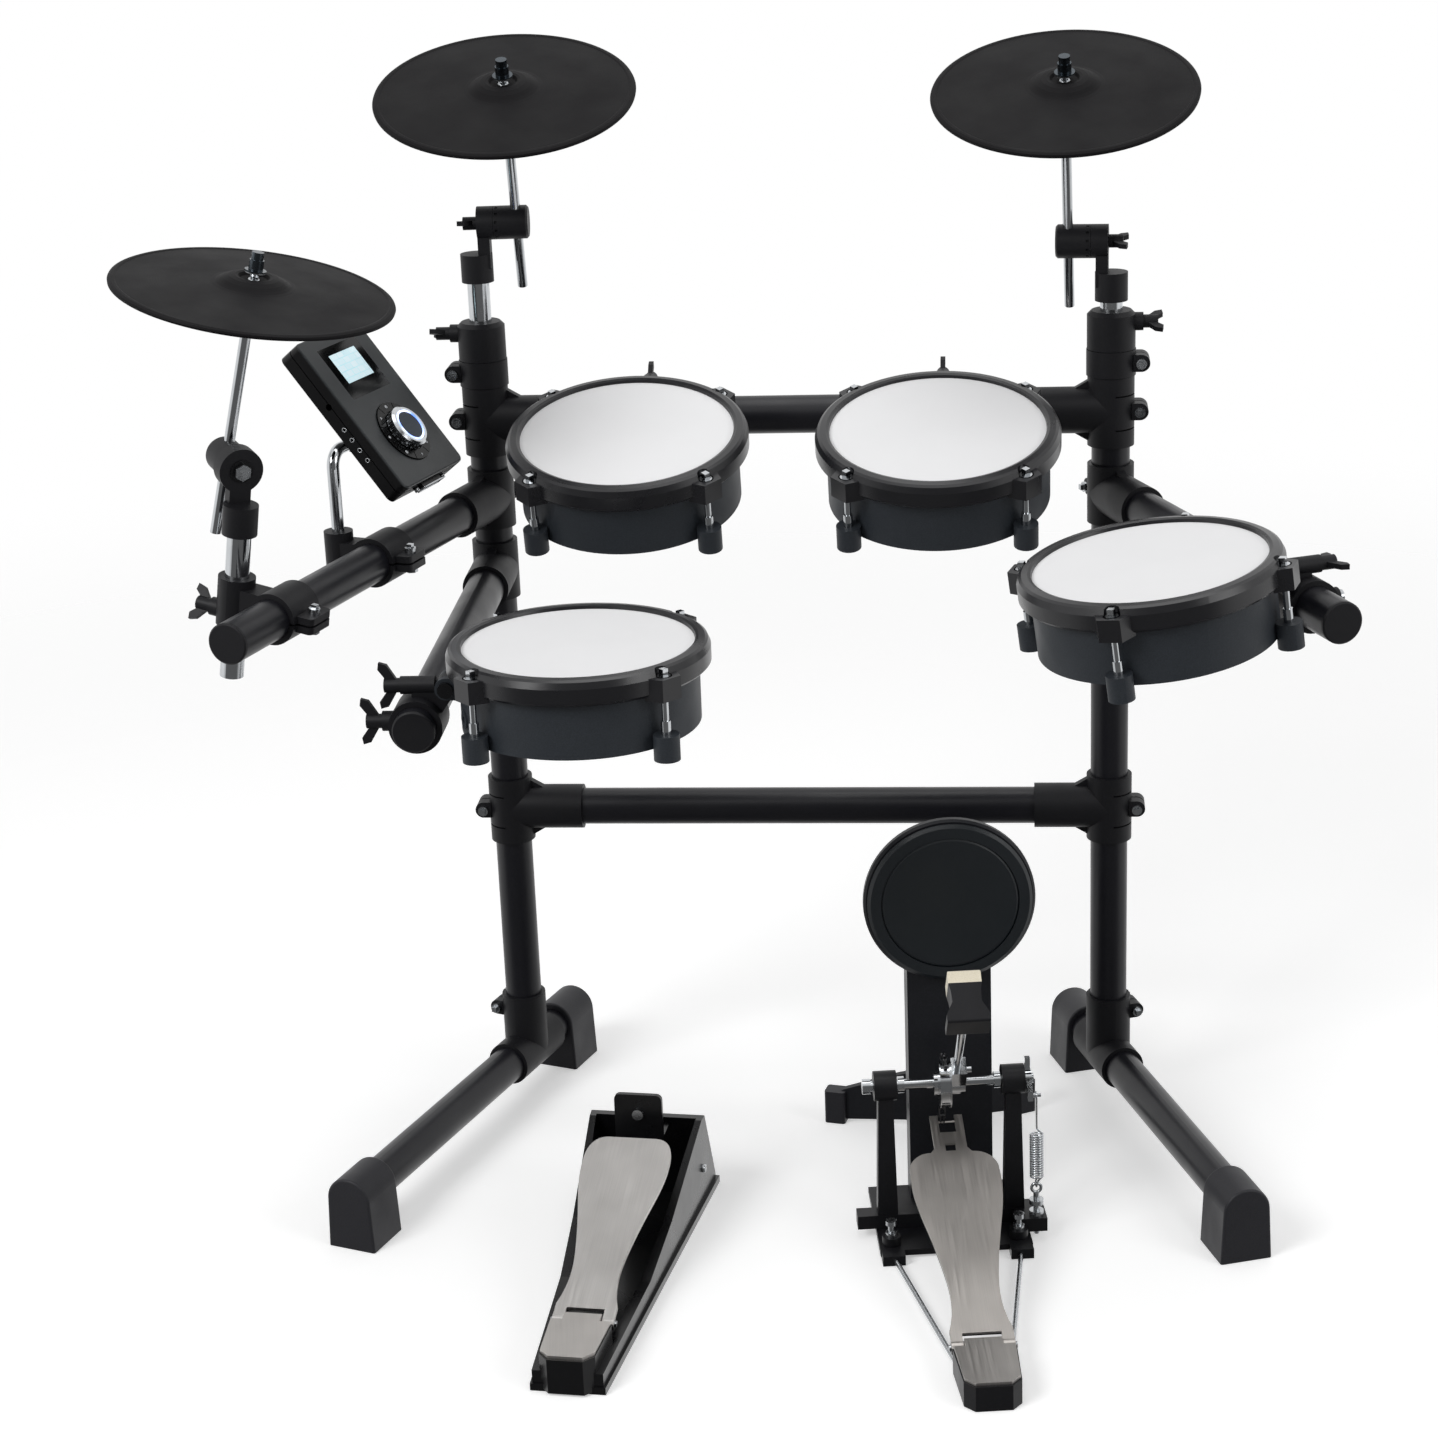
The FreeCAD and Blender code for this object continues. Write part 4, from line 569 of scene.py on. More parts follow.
@dataclass(frozen=True)
class NutSteel(Finish):
    """Cymbal nut: a blackened sleeve that stands on a bright washer."""

    metallic: float = 1.0
    gloss_from: Tuple[float, float] = (0.3, 0.75)
    gloss_span: Tuple[float, float] = (0.8, 1.6)
    place: LocalFrame = ROW
    sleeve: str = "#4f565c"
    washer_top_mm: float = 20.0
    smear_mm: float = 3.333

    def shade(self, tree: Tree) -> Dict[str, Any]:
        """Darken what stands above the washer and smear the plate.

        Args:
            tree: Tree of the material.

        Returns:
            Its shader inputs and, for a relief, its height.
        """
        local = self.place.coords(tree)
        height = add_node(tree, "ShaderNodeSeparateXYZ", {0: local}).outputs["Z"]
        above = add_node(tree, "ShaderNodeMath", {0: height, 1: self.washer_top_mm}, operation="GREATER_THAN")
        smear = add_node(tree, "ShaderNodeTexNoise",
                         {"Vector": local, "Scale": 1.0 / self.smear_mm, "Detail": 4.0})
        return {"Base Color": tint(tree, above, linear(self.colour), linear(self.sleeve)),
                "Roughness": self.gloss(tree, smear)}


@dataclass(frozen=True)
class ScrewSteel(Finish):
    """Zinc-plated screws, blackened where they are the hinge pins of pads and tilters."""

    specular: float = 0.3
    gloss_from: Tuple[float, float] = (0.3, 0.75)
    gloss_span: Tuple[float, float] = (0.8, 1.6)
    pins: Tuple[Point, ...] = ()
    pin_colour: str = "#101012"
    pin_reach_mm: float = 42.0
    smear_mm: float = 5.0

    def shade(self, tree: Tree) -> Dict[str, Any]:
        """Blacken the pins and smear the plate.

        Args:
            tree: Tree of the material.

        Returns:
            Its shader inputs and, for a relief, its height.
        """
        own = add_node(tree, "ShaderNodeTexCoord").outputs["Object"]
        reach = self.pin_reach_mm * MM
        black: Any = 0.0
        for pin in self.pins:
            away = add_node(tree, "ShaderNodeVectorMath", {0: own, 1: pin}, operation="DISTANCE").outputs
            near = add_node(tree, "ShaderNodeMath", {0: away["Value"], 1: reach}, operation="LESS_THAN")
            black = add_node(tree, "ShaderNodeMath", {0: near, 1: black}, operation="MAXIMUM")
        smear = add_node(tree, "ShaderNodeTexNoise",
                         {"Vector": ROW.coords(tree), "Scale": 1.0 / self.smear_mm, "Detail": 4.0})
        metal = add_node(tree, "ShaderNodeMath", {0: 1.0, 1: black}, operation="SUBTRACT")
        return {"Base Color": tint(tree, black, linear(self.colour), linear(self.pin_colour)),
                "Roughness": self.gloss(tree, smear), "Metallic": metal}


@dataclass(frozen=True)
class ModuleCase(Finish):
    """ABS case of the module: satin black with a glossy window panel round the screen."""

    specular: float = 0.3
    gloss_span: Tuple[float, float] = (0.85, 1.15)
    place: LocalFrame = ROW
    side: str = "#08080a"
    panel: str = "#060708"
    panel_roughness: float = 0.1
    panel_half_mm: Tuple[float, float] = (36.0, 29.0)
    panel_middle_mm: float = 77.0
    panel_depth_mm: float = 1.8
    face_edge_mm: Tuple[float, float] = (-2.2, -0.6)
    grain_mm: float = 0.8333
    patch_mm: float = 33.33

    def shade(self, tree: Tree) -> Dict[str, Any]:
        """Add the panel, fine grain and slight changes of gloss.

        Args:
            tree: Tree of the material.

        Returns:
            Its shader inputs and, for a relief, its height.
        """
        local = self.place.coords(tree)
        axes = add_node(tree, "ShaderNodeSeparateXYZ", {0: local}).outputs
        along = add_node(tree, "ShaderNodeMath", {0: axes["Y"], 1: self.panel_middle_mm},
                         operation="SUBTRACT")
        panel = add_node(tree, "ShaderNodeMath", {0: axes["Z"], 1: -self.panel_depth_mm},
                         operation="GREATER_THAN")
        for offset, half in zip((axes["X"], along), self.panel_half_mm):
            away = add_node(tree, "ShaderNodeMath", {0: offset}, operation="ABSOLUTE")
            within = add_node(tree, "ShaderNodeMath", {0: away, 1: half}, operation="LESS_THAN")
            panel = add_node(tree, "ShaderNodeMath", {0: panel, 1: within}, operation="MULTIPLY")
        grain = add_node(tree, "ShaderNodeTexNoise",
                         {"Vector": local, "Scale": 1.0 / self.grain_mm, "Detail": 2.0})
        patches = add_node(tree, "ShaderNodeTexNoise",
                           {"Vector": local, "Scale": 1.0 / self.patch_mm, "Detail": 3.0})
        satin = self.gloss(tree, patches)
        gloss = add_node(tree, "ShaderNodeMix", {0: panel, 2: satin, 3: self.panel_roughness})
        body = tint(tree, axes["Z"], linear(self.side), linear(self.colour), self.face_edge_mm)
        return {"Base Color": tint(tree, panel, body, linear(self.panel)), "Roughness": gloss, HEIGHT: grain}


@dataclass(frozen=True)
class LcdGlass(Finish):
    """Backlit display: pale blue light with faint menu blocks behind clear glass."""

    place: LocalFrame = ROW
    block_colours: Tuple[str, str] = ("#f0fbff", "#bfe3ee")
    gap_colour: str = "#9fcfdd"
    block_mm: Tuple[float, float] = (11.0, 7.0)
    gap_mm: float = 0.5
    cloud_mm: float = 20.0
    glow: float = 0.45

    def shade(self, tree: Tree) -> Dict[str, Any]:
        """Add rows of faint blocks and an uneven backlight.

        Args:
            tree: Tree of the material.

        Returns:
            Its shader inputs and, for a relief, its height.
        """
        local = self.place.coords(tree)
        first, second = (linear(code) for code in self.block_colours)
        tiles = add_node(tree, "ShaderNodeTexBrick",
                         {"Vector": local, "Color1": first, "Color2": second,
                          "Mortar": linear(self.gap_colour), "Scale": 1.0, "Mortar Size": self.gap_mm,
                          "Brick Width": self.block_mm[0], "Row Height": self.block_mm[1]})
        light = add_node(tree, "ShaderNodeTexNoise",
                         {"Vector": local, "Scale": 1.0 / self.cloud_mm, "Detail": 1.0})
        fade = add_node(tree, "ShaderNodeMapRange",
                        {"Value": light, "From Min": 0.3, "From Max": 0.7, "To Min": 0.15, "To Max": 0.5})
        screen = tint(tree, fade, linear(self.colour), tiles)
        return {"Base Color": screen, "Emission Color": screen, "Emission Strength": self.glow}


@dataclass(frozen=True)
class DialMetal(Finish):
    """Jog dial: a bright turned rim round a dark spun disc."""

    metallic: float = 1.0
    place: LocalFrame = ROW
    disc: str = "#3a4048"
    disc_roughness: float = 0.35
    disc_mm: float = 14.6
    ring_mm: float = 0.8

    def shade(self, tree: Tree) -> Dict[str, Any]:
        """Darken the disc inside the light ring and spin fine rings on it.

        Args:
            tree: Tree of the material.

        Returns:
            Its shader inputs and, for a relief, its height.
        """
        local = self.place.coords(tree, FLAT)
        radius = add_node(tree, "ShaderNodeVectorMath", {0: local}, operation="LENGTH").outputs["Value"]
        disc = add_node(tree, "ShaderNodeMath", {0: radius, 1: self.disc_mm}, operation="LESS_THAN")
        gloss = add_node(tree, "ShaderNodeMix", {0: disc, 2: self.roughness, 3: self.disc_roughness})
        return {"Base Color": tint(tree, disc, linear(self.colour), linear(self.disc)),
                "Roughness": gloss, HEIGHT: ripples(tree, radius, self.ring_mm)}


@dataclass(frozen=True)
class LightGuide(Finish):
    """Acrylic light guide lit from below: brightest where its lamps sit."""

    place: LocalFrame = ROW
    lamp: str = "#dfe8ff"
    lamp_mm: float = 11.11
    glow: float = 2.0

    def shade(self, tree: Tree) -> Dict[str, Any]:
        """Add light that swells near each lamp.

        Args:
            tree: Tree of the material.

        Returns:
            Its shader inputs and, for a relief, its height.
        """
        swell = add_node(tree, "ShaderNodeTexNoise", {"Vector": self.place.coords(tree),
                                                      "Scale": 1.0 / self.lamp_mm, "Detail": 1.0})
        light = tint(tree, swell, linear(self.colour), linear(self.lamp), (0.3, 0.7))
        return {"Base Color": light, "Emission Color": light, "Emission Strength": self.glow}


# Black powder coat on steel tube: a satin skin with a very fine orange peel.
TUBE_PAINT = Moulding("black_powder_coat", "#141419", 0.36, grain_mm=1.6, depth_mm=0.03, specular=0.36)
# Glass-filled nylon from an etched mould: matte, slightly paler where the grain catches light.
NYLON = Moulding("black_glass_filled_nylon", "#151518", 0.5, grain_mm=0.9, depth_mm=0.05, specular=0.26)
# Moulded rubber of the feet: dense, even and softly shining.
FOOT_RUBBER = Moulding("black_moulded_rubber", "#242428", 0.5, grain_mm=1.2, depth_mm=0.04, specular=0.34)
# Hoop with a smooth rubber skin: nearly black, with a bright line along its round edge.
HOOP_RUBBER = Moulding("black_hoop_rubber", "#161619", 0.3, grain_mm=0.8, depth_mm=0.02, specular=0.5)
# Etched ABS of the pad shells: charcoal with a cool cast and an even grain.
SHELL_ABS = Moulding("charcoal_etched_abs", "#272b30", 0.5, grain_mm=1.1, depth_mm=0.07, specular=0.3)
# Painted sheet steel of the kick tower: smooth satin black.
TOWER_PAINT = Moulding("black_painted_sheet_steel", "#1b1c20", 0.4, grain_mm=2.0, depth_mm=0.02,
                       specular=0.28)
# Natural rubber of the kick pad: satin, with a cool cast and a bright line on its round rim.
KICK_RUBBER = Moulding("black_kick_rubber", "#161b1f", 0.38, grain_mm=0.8, depth_mm=0.02, specular=0.5)
# Painted die casting of the pedal frame: slightly lumpy black.
CASTING = Moulding("black_painted_casting", "#121215", 0.42, grain_mm=2.4, depth_mm=0.06, specular=0.3)
# Polished ABS of the hi-hat pedal tub: glossy black with soft mould waviness.
TUB_ABS = Moulding("black_polished_abs", "#09090b", 0.28, grain_mm=6.0, depth_mm=0.04, specular=0.4, coat=0.1)
# Key ring of the module: moulded ABS, satin.
KEY_ABS = Moulding("black_key_abs", "#030304", 0.26, grain_mm=0.8, depth_mm=0.02, specular=0.25)
# Chrome plate on rods, posts and tension rods: bright with faint smears.
CHROME = PlatedMetal("chrome_plate", "#cfd2d5", 0.10)
# Zinc plate on screws and pins: duller and a little blue.
ZINC = PlatedMetal("zinc_plate", "#c6c9cc", 0.22, smear_mm=5.0, depth_mm=0.05)
# Oiled steel chain: dark, with worn bright spots.
CHAIN_STEEL = PlatedMetal("oiled_chain_steel", "#6a6a6c", 0.28, smear_mm=2.5, depth_mm=0.06)
# Printed white ink of the key marks: chalky and slightly worn.
KEY_INK = Moulding("white_key_ink", "#c9cccf", 0.7, grain_mm=0.5, depth_mm=0.01, specular=0.2, lift=0.1)
# Pressed wool felt of the beater: warm ivory.
FELT = PressedFelt("pressed_wool_felt", "#fff7e4", 0.95)


def dress(node: str, finish: Finish) -> None:
    """Give one CAD node its finish.

    Args:
        node: Name of the node.
        finish: Finish that it gets.
    """
    material = finish.material()
    for slot in frame["nodes"][node].material_slots:
        slot.material = material
    log.info("node %s: %s", node, finish.name)


@dataclass
class ShapeTree:
    """A geometry tree with named inputs for its sizes, and the piece that it makes."""

    name: str
    sizes: Sequence[str]

    def __post_init__(self) -> None:
        """Start the tree with an input for each size and for the material."""
        self.tree = bpy.data.node_groups.new(self.name, "GeometryNodeTree")
        for way in ("INPUT", "OUTPUT"):
            self.tree.interface.new_socket("Geometry", in_out=way, socket_type="NodeSocketGeometry")
        self.keys: Dict[str, str] = {}
        kinds = {"Count": "NodeSocketInt", "Material": "NodeSocketMaterial"}
        for size in (*self.sizes, "Material"):
            socket = self.tree.interface.new_socket(size, in_out="INPUT",
                                                    socket_type=kinds.get(size, "NodeSocketFloat"))
            self.keys[size] = socket.identifier
        self.given = add_node(self.tree, "NodeGroupInput").outputs

    def tube(self, line: Any, radius: str, sides: int, caps: bool = False) -> Node:
        """Draw a round tube along a curve.

        Args:
            line: Node or socket of the curve.
            radius: Named input with the tube's radius.
            sides: Number of flats round the tube.
            caps: Whether its ends are closed.

        Returns:
            Node of the tube.
        """
        ring = add_node(self.tree, "GeometryNodeCurvePrimitiveCircle",
                        {"Resolution": sides, "Radius": self.given[radius]})
        return add_node(self.tree, "GeometryNodeCurveToMesh",
                        {0: line, "Profile Curve": ring, "Fill Caps": caps})

    def end(self, shape: Node) -> None:
        """Close the tree with smooth faces, real instances and its material.

        Args:
            shape: Node of the finished shape.
        """
        smooth = add_node(self.tree, "GeometryNodeSetShadeSmooth", {0: shape})
        real = add_node(self.tree, "GeometryNodeRealizeInstances", {0: smooth})
        dressed = add_node(self.tree, "GeometryNodeSetMaterial",
                           {0: real, "Material": self.given["Material"]})
        add_node(self.tree, "NodeGroupOutput", {0: dressed})

    def piece(self, name: str, sizes: Dict[str, float], finish: Finish, place: Matrix,
              base: Optional[bpy.types.Curve] = None) -> bpy.types.Object:
        """Run the tree and keep its result as a plain mesh, with the object at the origin.

        Args:
            name: Name of the piece.
            sizes: Values of the tree's inputs by name: millimetres, or a number of copies for Count.
            finish: Finish of the piece.
            place: Matrix from the tree's frame to the row frame.
            base: Curve that the tree follows, where it has one.

        Returns:
            The finished piece.
        """
        seed = bpy.data.objects.new(name + "_seed", base or bpy.data.meshes.new(name + "_seed"))
        bpy.context.scene.collection.objects.link(seed)
        modifier = seed.modifiers.new("grow", "NODES")
        modifier.node_group = self.tree
        for size, value in sizes.items():
            modifier[self.keys[size]] = value if size == "Count" else value * MM
        modifier[self.keys["Material"]] = finish.material()
        view = bpy.context.evaluated_depsgraph_get()
        mesh = bpy.data.meshes.new_from_object(seed.evaluated_get(view), depsgraph=view)
        bpy.data.objects.remove(seed)
        mesh.transform(place)
        mesh.name = name
        if not mesh.materials:
            mesh.materials.append(finish.material())
        piece = bpy.data.objects.new(name, mesh)
        bpy.context.scene.collection.objects.link(piece)
        return piece


def wire_line(name: str, points: Sequence[Point], closed: bool = False) -> bpy.types.Curve:
    """Make the middle line of a wire.

    Args:
        name: Name of the curve.
        points: Its points in millimetres.
        closed: Whether its end meets its start.

    Returns:
        The curve.
    """
    line = bpy.data.curves.new(name, "CURVE")
    line.dimensions = "3D"
    spline = line.splines.new("POLY")
    spline.points.add(len(points) - 1)
    spline.use_cyclic_u = closed
    for spot, (x, y, z) in zip(spline.points, points):
        spot.co = (x * MM, y * MM, z * MM, 1.0)
    return line


def paired_screws(name: str, turn: Point, sides: int = 20) -> ShapeTree:
    """Make the tree of two round screw heads on a line along x.

    Args:
        name: Name of the tree.
        turn: Rotation of each head, whose own axis is z.
        sides: Number of flats round a head.

    Returns:
        The tree, ready to make the piece.
    """
    shape = ShapeTree(name, ("Spacing", "Radius", "Length"))
    tree, given = shape.tree, shape.given
    ends = []
    for side in (-0.5, 0.5):
        reach = add_node(tree, "ShaderNodeMath", {0: given["Spacing"], 1: side}, operation="MULTIPLY")
        ends.append(add_node(tree, "ShaderNodeCombineXYZ", {0: reach}))
    pair = add_node(tree, "GeometryNodeMeshLine", {"Count": 2, "Start Location": ends[0], "Offset": ends[1]},
                    mode="END_POINTS")
    screw = add_node(tree, "GeometryNodeMeshCylinder",
                     {"Vertices": sides, "Radius": given["Radius"], "Depth": given["Length"]})
    shape.end(add_node(tree, "GeometryNodeInstanceOnPoints",
                       {"Points": pair, "Instance": screw, "Rotation": turn}))
    return shape


def carry(piece: bpy.types.Object, body: Body) -> None:
    """Let a piece ride on a body.

    Args:
        piece: Piece made here.
        body: Body that carries it.
    """
    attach(piece, body.value)
    log.info("piece %s on %s, %d faces", piece.name, body.value, len(piece.data.polygons))


class SubAssembly(ABC):
    def build(self) -> None:
        """Make no mesh beside the CAD nodes."""

    @abstractmethod
    def dress(self) -> None:
        """Give each CAD node its finish."""


@dataclass
class Rack(SubAssembly):
    """Tube rack with its joints, clamps, screws and feet."""

    tubes: Sequence[str] = ("uprights", "cross_tubes", "arm_tubes", "leg_tubes")
    mouldings: Sequence[str] = ("rack_tees", "rack_clamps", "wing_bolts", "tube_caps", "cymbal_yokes")

    def dress(self) -> None:
        """Finish the tubes, mouldings, screws and feet."""
        for node in self.tubes:
            dress(node, TUBE_PAINT)
        for node in self.mouldings:
            dress(node, NYLON)
        pins = tuple(tuple(joint(name + "_tilt")["pos_m"]) for name in DRUMS + CYMBALS)
        dress("tee_bolts", ScrewSteel("zinc_and_black_screw_steel", "#b4b7ba", 0.22, pins=pins))
        dress("rubber_feet", FOOT_RUBBER)
        dress("cymbal_posts", CHROME)


@dataclass
class Cymbal(SubAssembly):
    """One cymbal pad on its stand."""

    name: str

    def dress(self) -> None:
        """Finish the pad, its nut, rod and tilter."""
        pad = self.name + "_cymbal"
        place = disc_frame(pad)
        dress(pad, TurnedRubber(self.name + "_cymbal_rubber", "#09080a", 0.62, place=place))
        dress(pad + "_nut", NutSteel(self.name + "_nut_steel", "#c9cccf", 0.2, place=place))
        dress(self.name + "_rod", CHROME)
        dress(self.name + "_tilter", NYLON)


@dataclass
class DrumPad(SubAssembly):
    """One drum pad: shell, hoop, mesh head and tension rods."""

    name: str

    def dress(self) -> None:
        """Finish the shell, hoop, head and rods."""
        head = self.name + "_head"
        dress(head, WovenMesh(self.name + "_woven_mesh", "#f2f2f3", 0.75, place=disc_frame(head)))
        dress(self.name + "_shell", SHELL_ABS)
        dress(self.name + "_hoop", HOOP_RUBBER)
        dress(self.name + "_tension_rods", CHROME)


@dataclass
class KickPedal(SubAssembly):
    """Kick tower, chain pedal and beater, with the pedal spring wound from one wire."""

    axle_height_mm: float = 160.0
    spring_x_mm: float = 81.5
    pin_y_mm: float = -22.69
    pin_z_mm: float = 152.19
    hook_mm: float = 3.2
    hook_sweep: int = 250
    hook_step: int = 25
    coil_mm: float = 6.0
    coil_low_mm: float = 66.0
    foot_mm: float = 57.6
    pitch_mm: float = 2.6
    turns: int = 18
    turn_steps: int = 20
    lead_mm: float = 7.0
    lead_steps: int = 4
    straight_steps: int = 12
    wire_mm: float = 1.9
    wire_sides: int = 10
    bend_mm: float = 12.0
    heel_plate_mm: float = 100.0

    def hook(self, height_mm: float, way: int) -> List[Point]:
        """Work out one hook of the spring, from the line of the coil round its pin.

        Args:
            height_mm: Height of the pin.
            way: 1 for a hook that goes over its pin, -1 for one that goes under it.

        Returns:
            Points in millimetres in the pedal's frame.
        """
        points = []
        for degrees in range(0, self.hook_sweep + 1, self.hook_step):
            a = math.radians(degrees)
            points.append((self.spring_x_mm, self.pin_y_mm - self.hook_mm * math.cos(a),
                           height_mm + way * self.hook_mm * math.sin(a)))
        return points

    def spring_points(self) -> List[Point]:
        """Work out the line of the spring wire: lower hook, coil, straight wire, upper hook.

        Returns:
            Points in millimetres in the pedal's frame.
        """
        x, y = self.spring_x_mm, self.pin_y_mm - self.hook_mm
        points = self.hook(self.foot_mm, -1)[::-1]
        rise = self.coil_low_mm - self.foot_mm
        for k in range(1, self.lead_steps):
            part = k / self.lead_steps
            points.append((x + self.coil_mm * part ** 2, y, self.foot_mm + rise * part))
        for k in range(self.turn_steps * self.turns + 1):
            a = 2.0 * math.pi * k / self.turn_steps
            points.append((x + self.coil_mm * math.cos(a), y + self.coil_mm * math.sin(a),
                           self.coil_low_mm + self.pitch_mm * k / self.turn_steps))
        top = self.coil_low_mm + self.pitch_mm * self.turns
        for k in range(1, self.lead_steps + 1):
            part = k / self.lead_steps
            points.append((x + self.coil_mm * (1.0 - part) ** 2, y, top + self.lead_mm * part))
        rise = self.pin_z_mm - top - self.lead_mm
        for k in range(1, self.straight_steps):
            points.append((x, y, top + self.lead_mm + rise * k / self.straight_steps))
        return points + self.hook(self.pin_z_mm, 1)

    def build(self) -> None:
        """Wind the spring from one wire and hide the CAD spring."""
        level = hinge_frame("beater_swing")
        origin = (level.origin[0], level.origin[1], level.origin[2] - self.axle_height_mm * MM)
        place = LocalFrame(origin, level.x, level.y)
        shape = ShapeTree("wire_along_line", ("Wire Radius",))
        shape.end(shape.tube(shape.given["Geometry"], "Wire Radius", self.wire_sides, caps=True))
        piece = shape.piece("pedal_spring_wire", {"Wire Radius": self.wire_mm / 2.0}, CHROME, place.matrix(),
                            wire_line("spring_line", self.spring_points()))
        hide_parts("pedal_spring")
        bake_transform(piece)
        log.info("piece %s between rack and beater, %d faces", piece.name, len(piece.data.polygons))

    def dress(self) -> None:
        """Finish the tower, pedal and beater."""
        for node, finish in (("kick_tower", TOWER_PAINT), ("kick_pad", KICK_RUBBER), ("pedal_frame", CASTING),
                             ("pedal_rods", ZINC), ("pedal_axle", CHROME), ("beater_shaft", CHROME),
                             ("beater_head", NYLON), ("beater_felt", FELT), ("chain_wrap", CHAIN_STEEL),
                             ("chain_drop", CHAIN_STEEL)):
            dress(node, finish)
        board = board_frame("kick_footboard", "kick_pedal")
        dress("kick_footboard", BrushedSteel("kick_brushed_steel", "#cfcac5", 0.40, place=board))
        heel = hinge_frame("kick_pedal")
        dress("heel_plates", BrushedSteel("heel_brushed_steel", "#cfcbc7", 0.40, place=heel,
                                          plate_mm=self.heel_plate_mm))


@dataclass
class HihatPedal(SubAssembly):
    """Hi-hat control pedal: tub base with side screws, and footboard."""

    screw_spacing_mm: float = 114.4
    screw_along_mm: float = 290.0
    screw_rise_mm: float = 9.5
    screw_radius_mm: float = 4.2
    screw_length_mm: float = 5.0

    def build(self) -> None:
        """Set a screw in each side wall of the tub."""
        name = "hihat_side_screws"
        sizes = {"Spacing": self.screw_spacing_mm, "Radius": self.screw_radius_mm,
                 "Length": self.screw_length_mm}
        place = hinge_frame("hihat_pedal").moved(0, self.screw_along_mm, self.screw_rise_mm)
        piece = paired_screws(name, (0, QUARTER_TURN, 0)).piece(name, sizes, ZINC, place)
        carry(piece, Body.RACK)

    def dress(self) -> None:
        """Finish the tub and the footboard."""
        dress("hihat_pedal_base", TUB_ABS)
        board = board_frame("hihat_footboard", "hihat_pedal")
        dress("hihat_footboard", BrushedSteel("hihat_brushed_steel", "#dedbd8", 0.40, place=board))


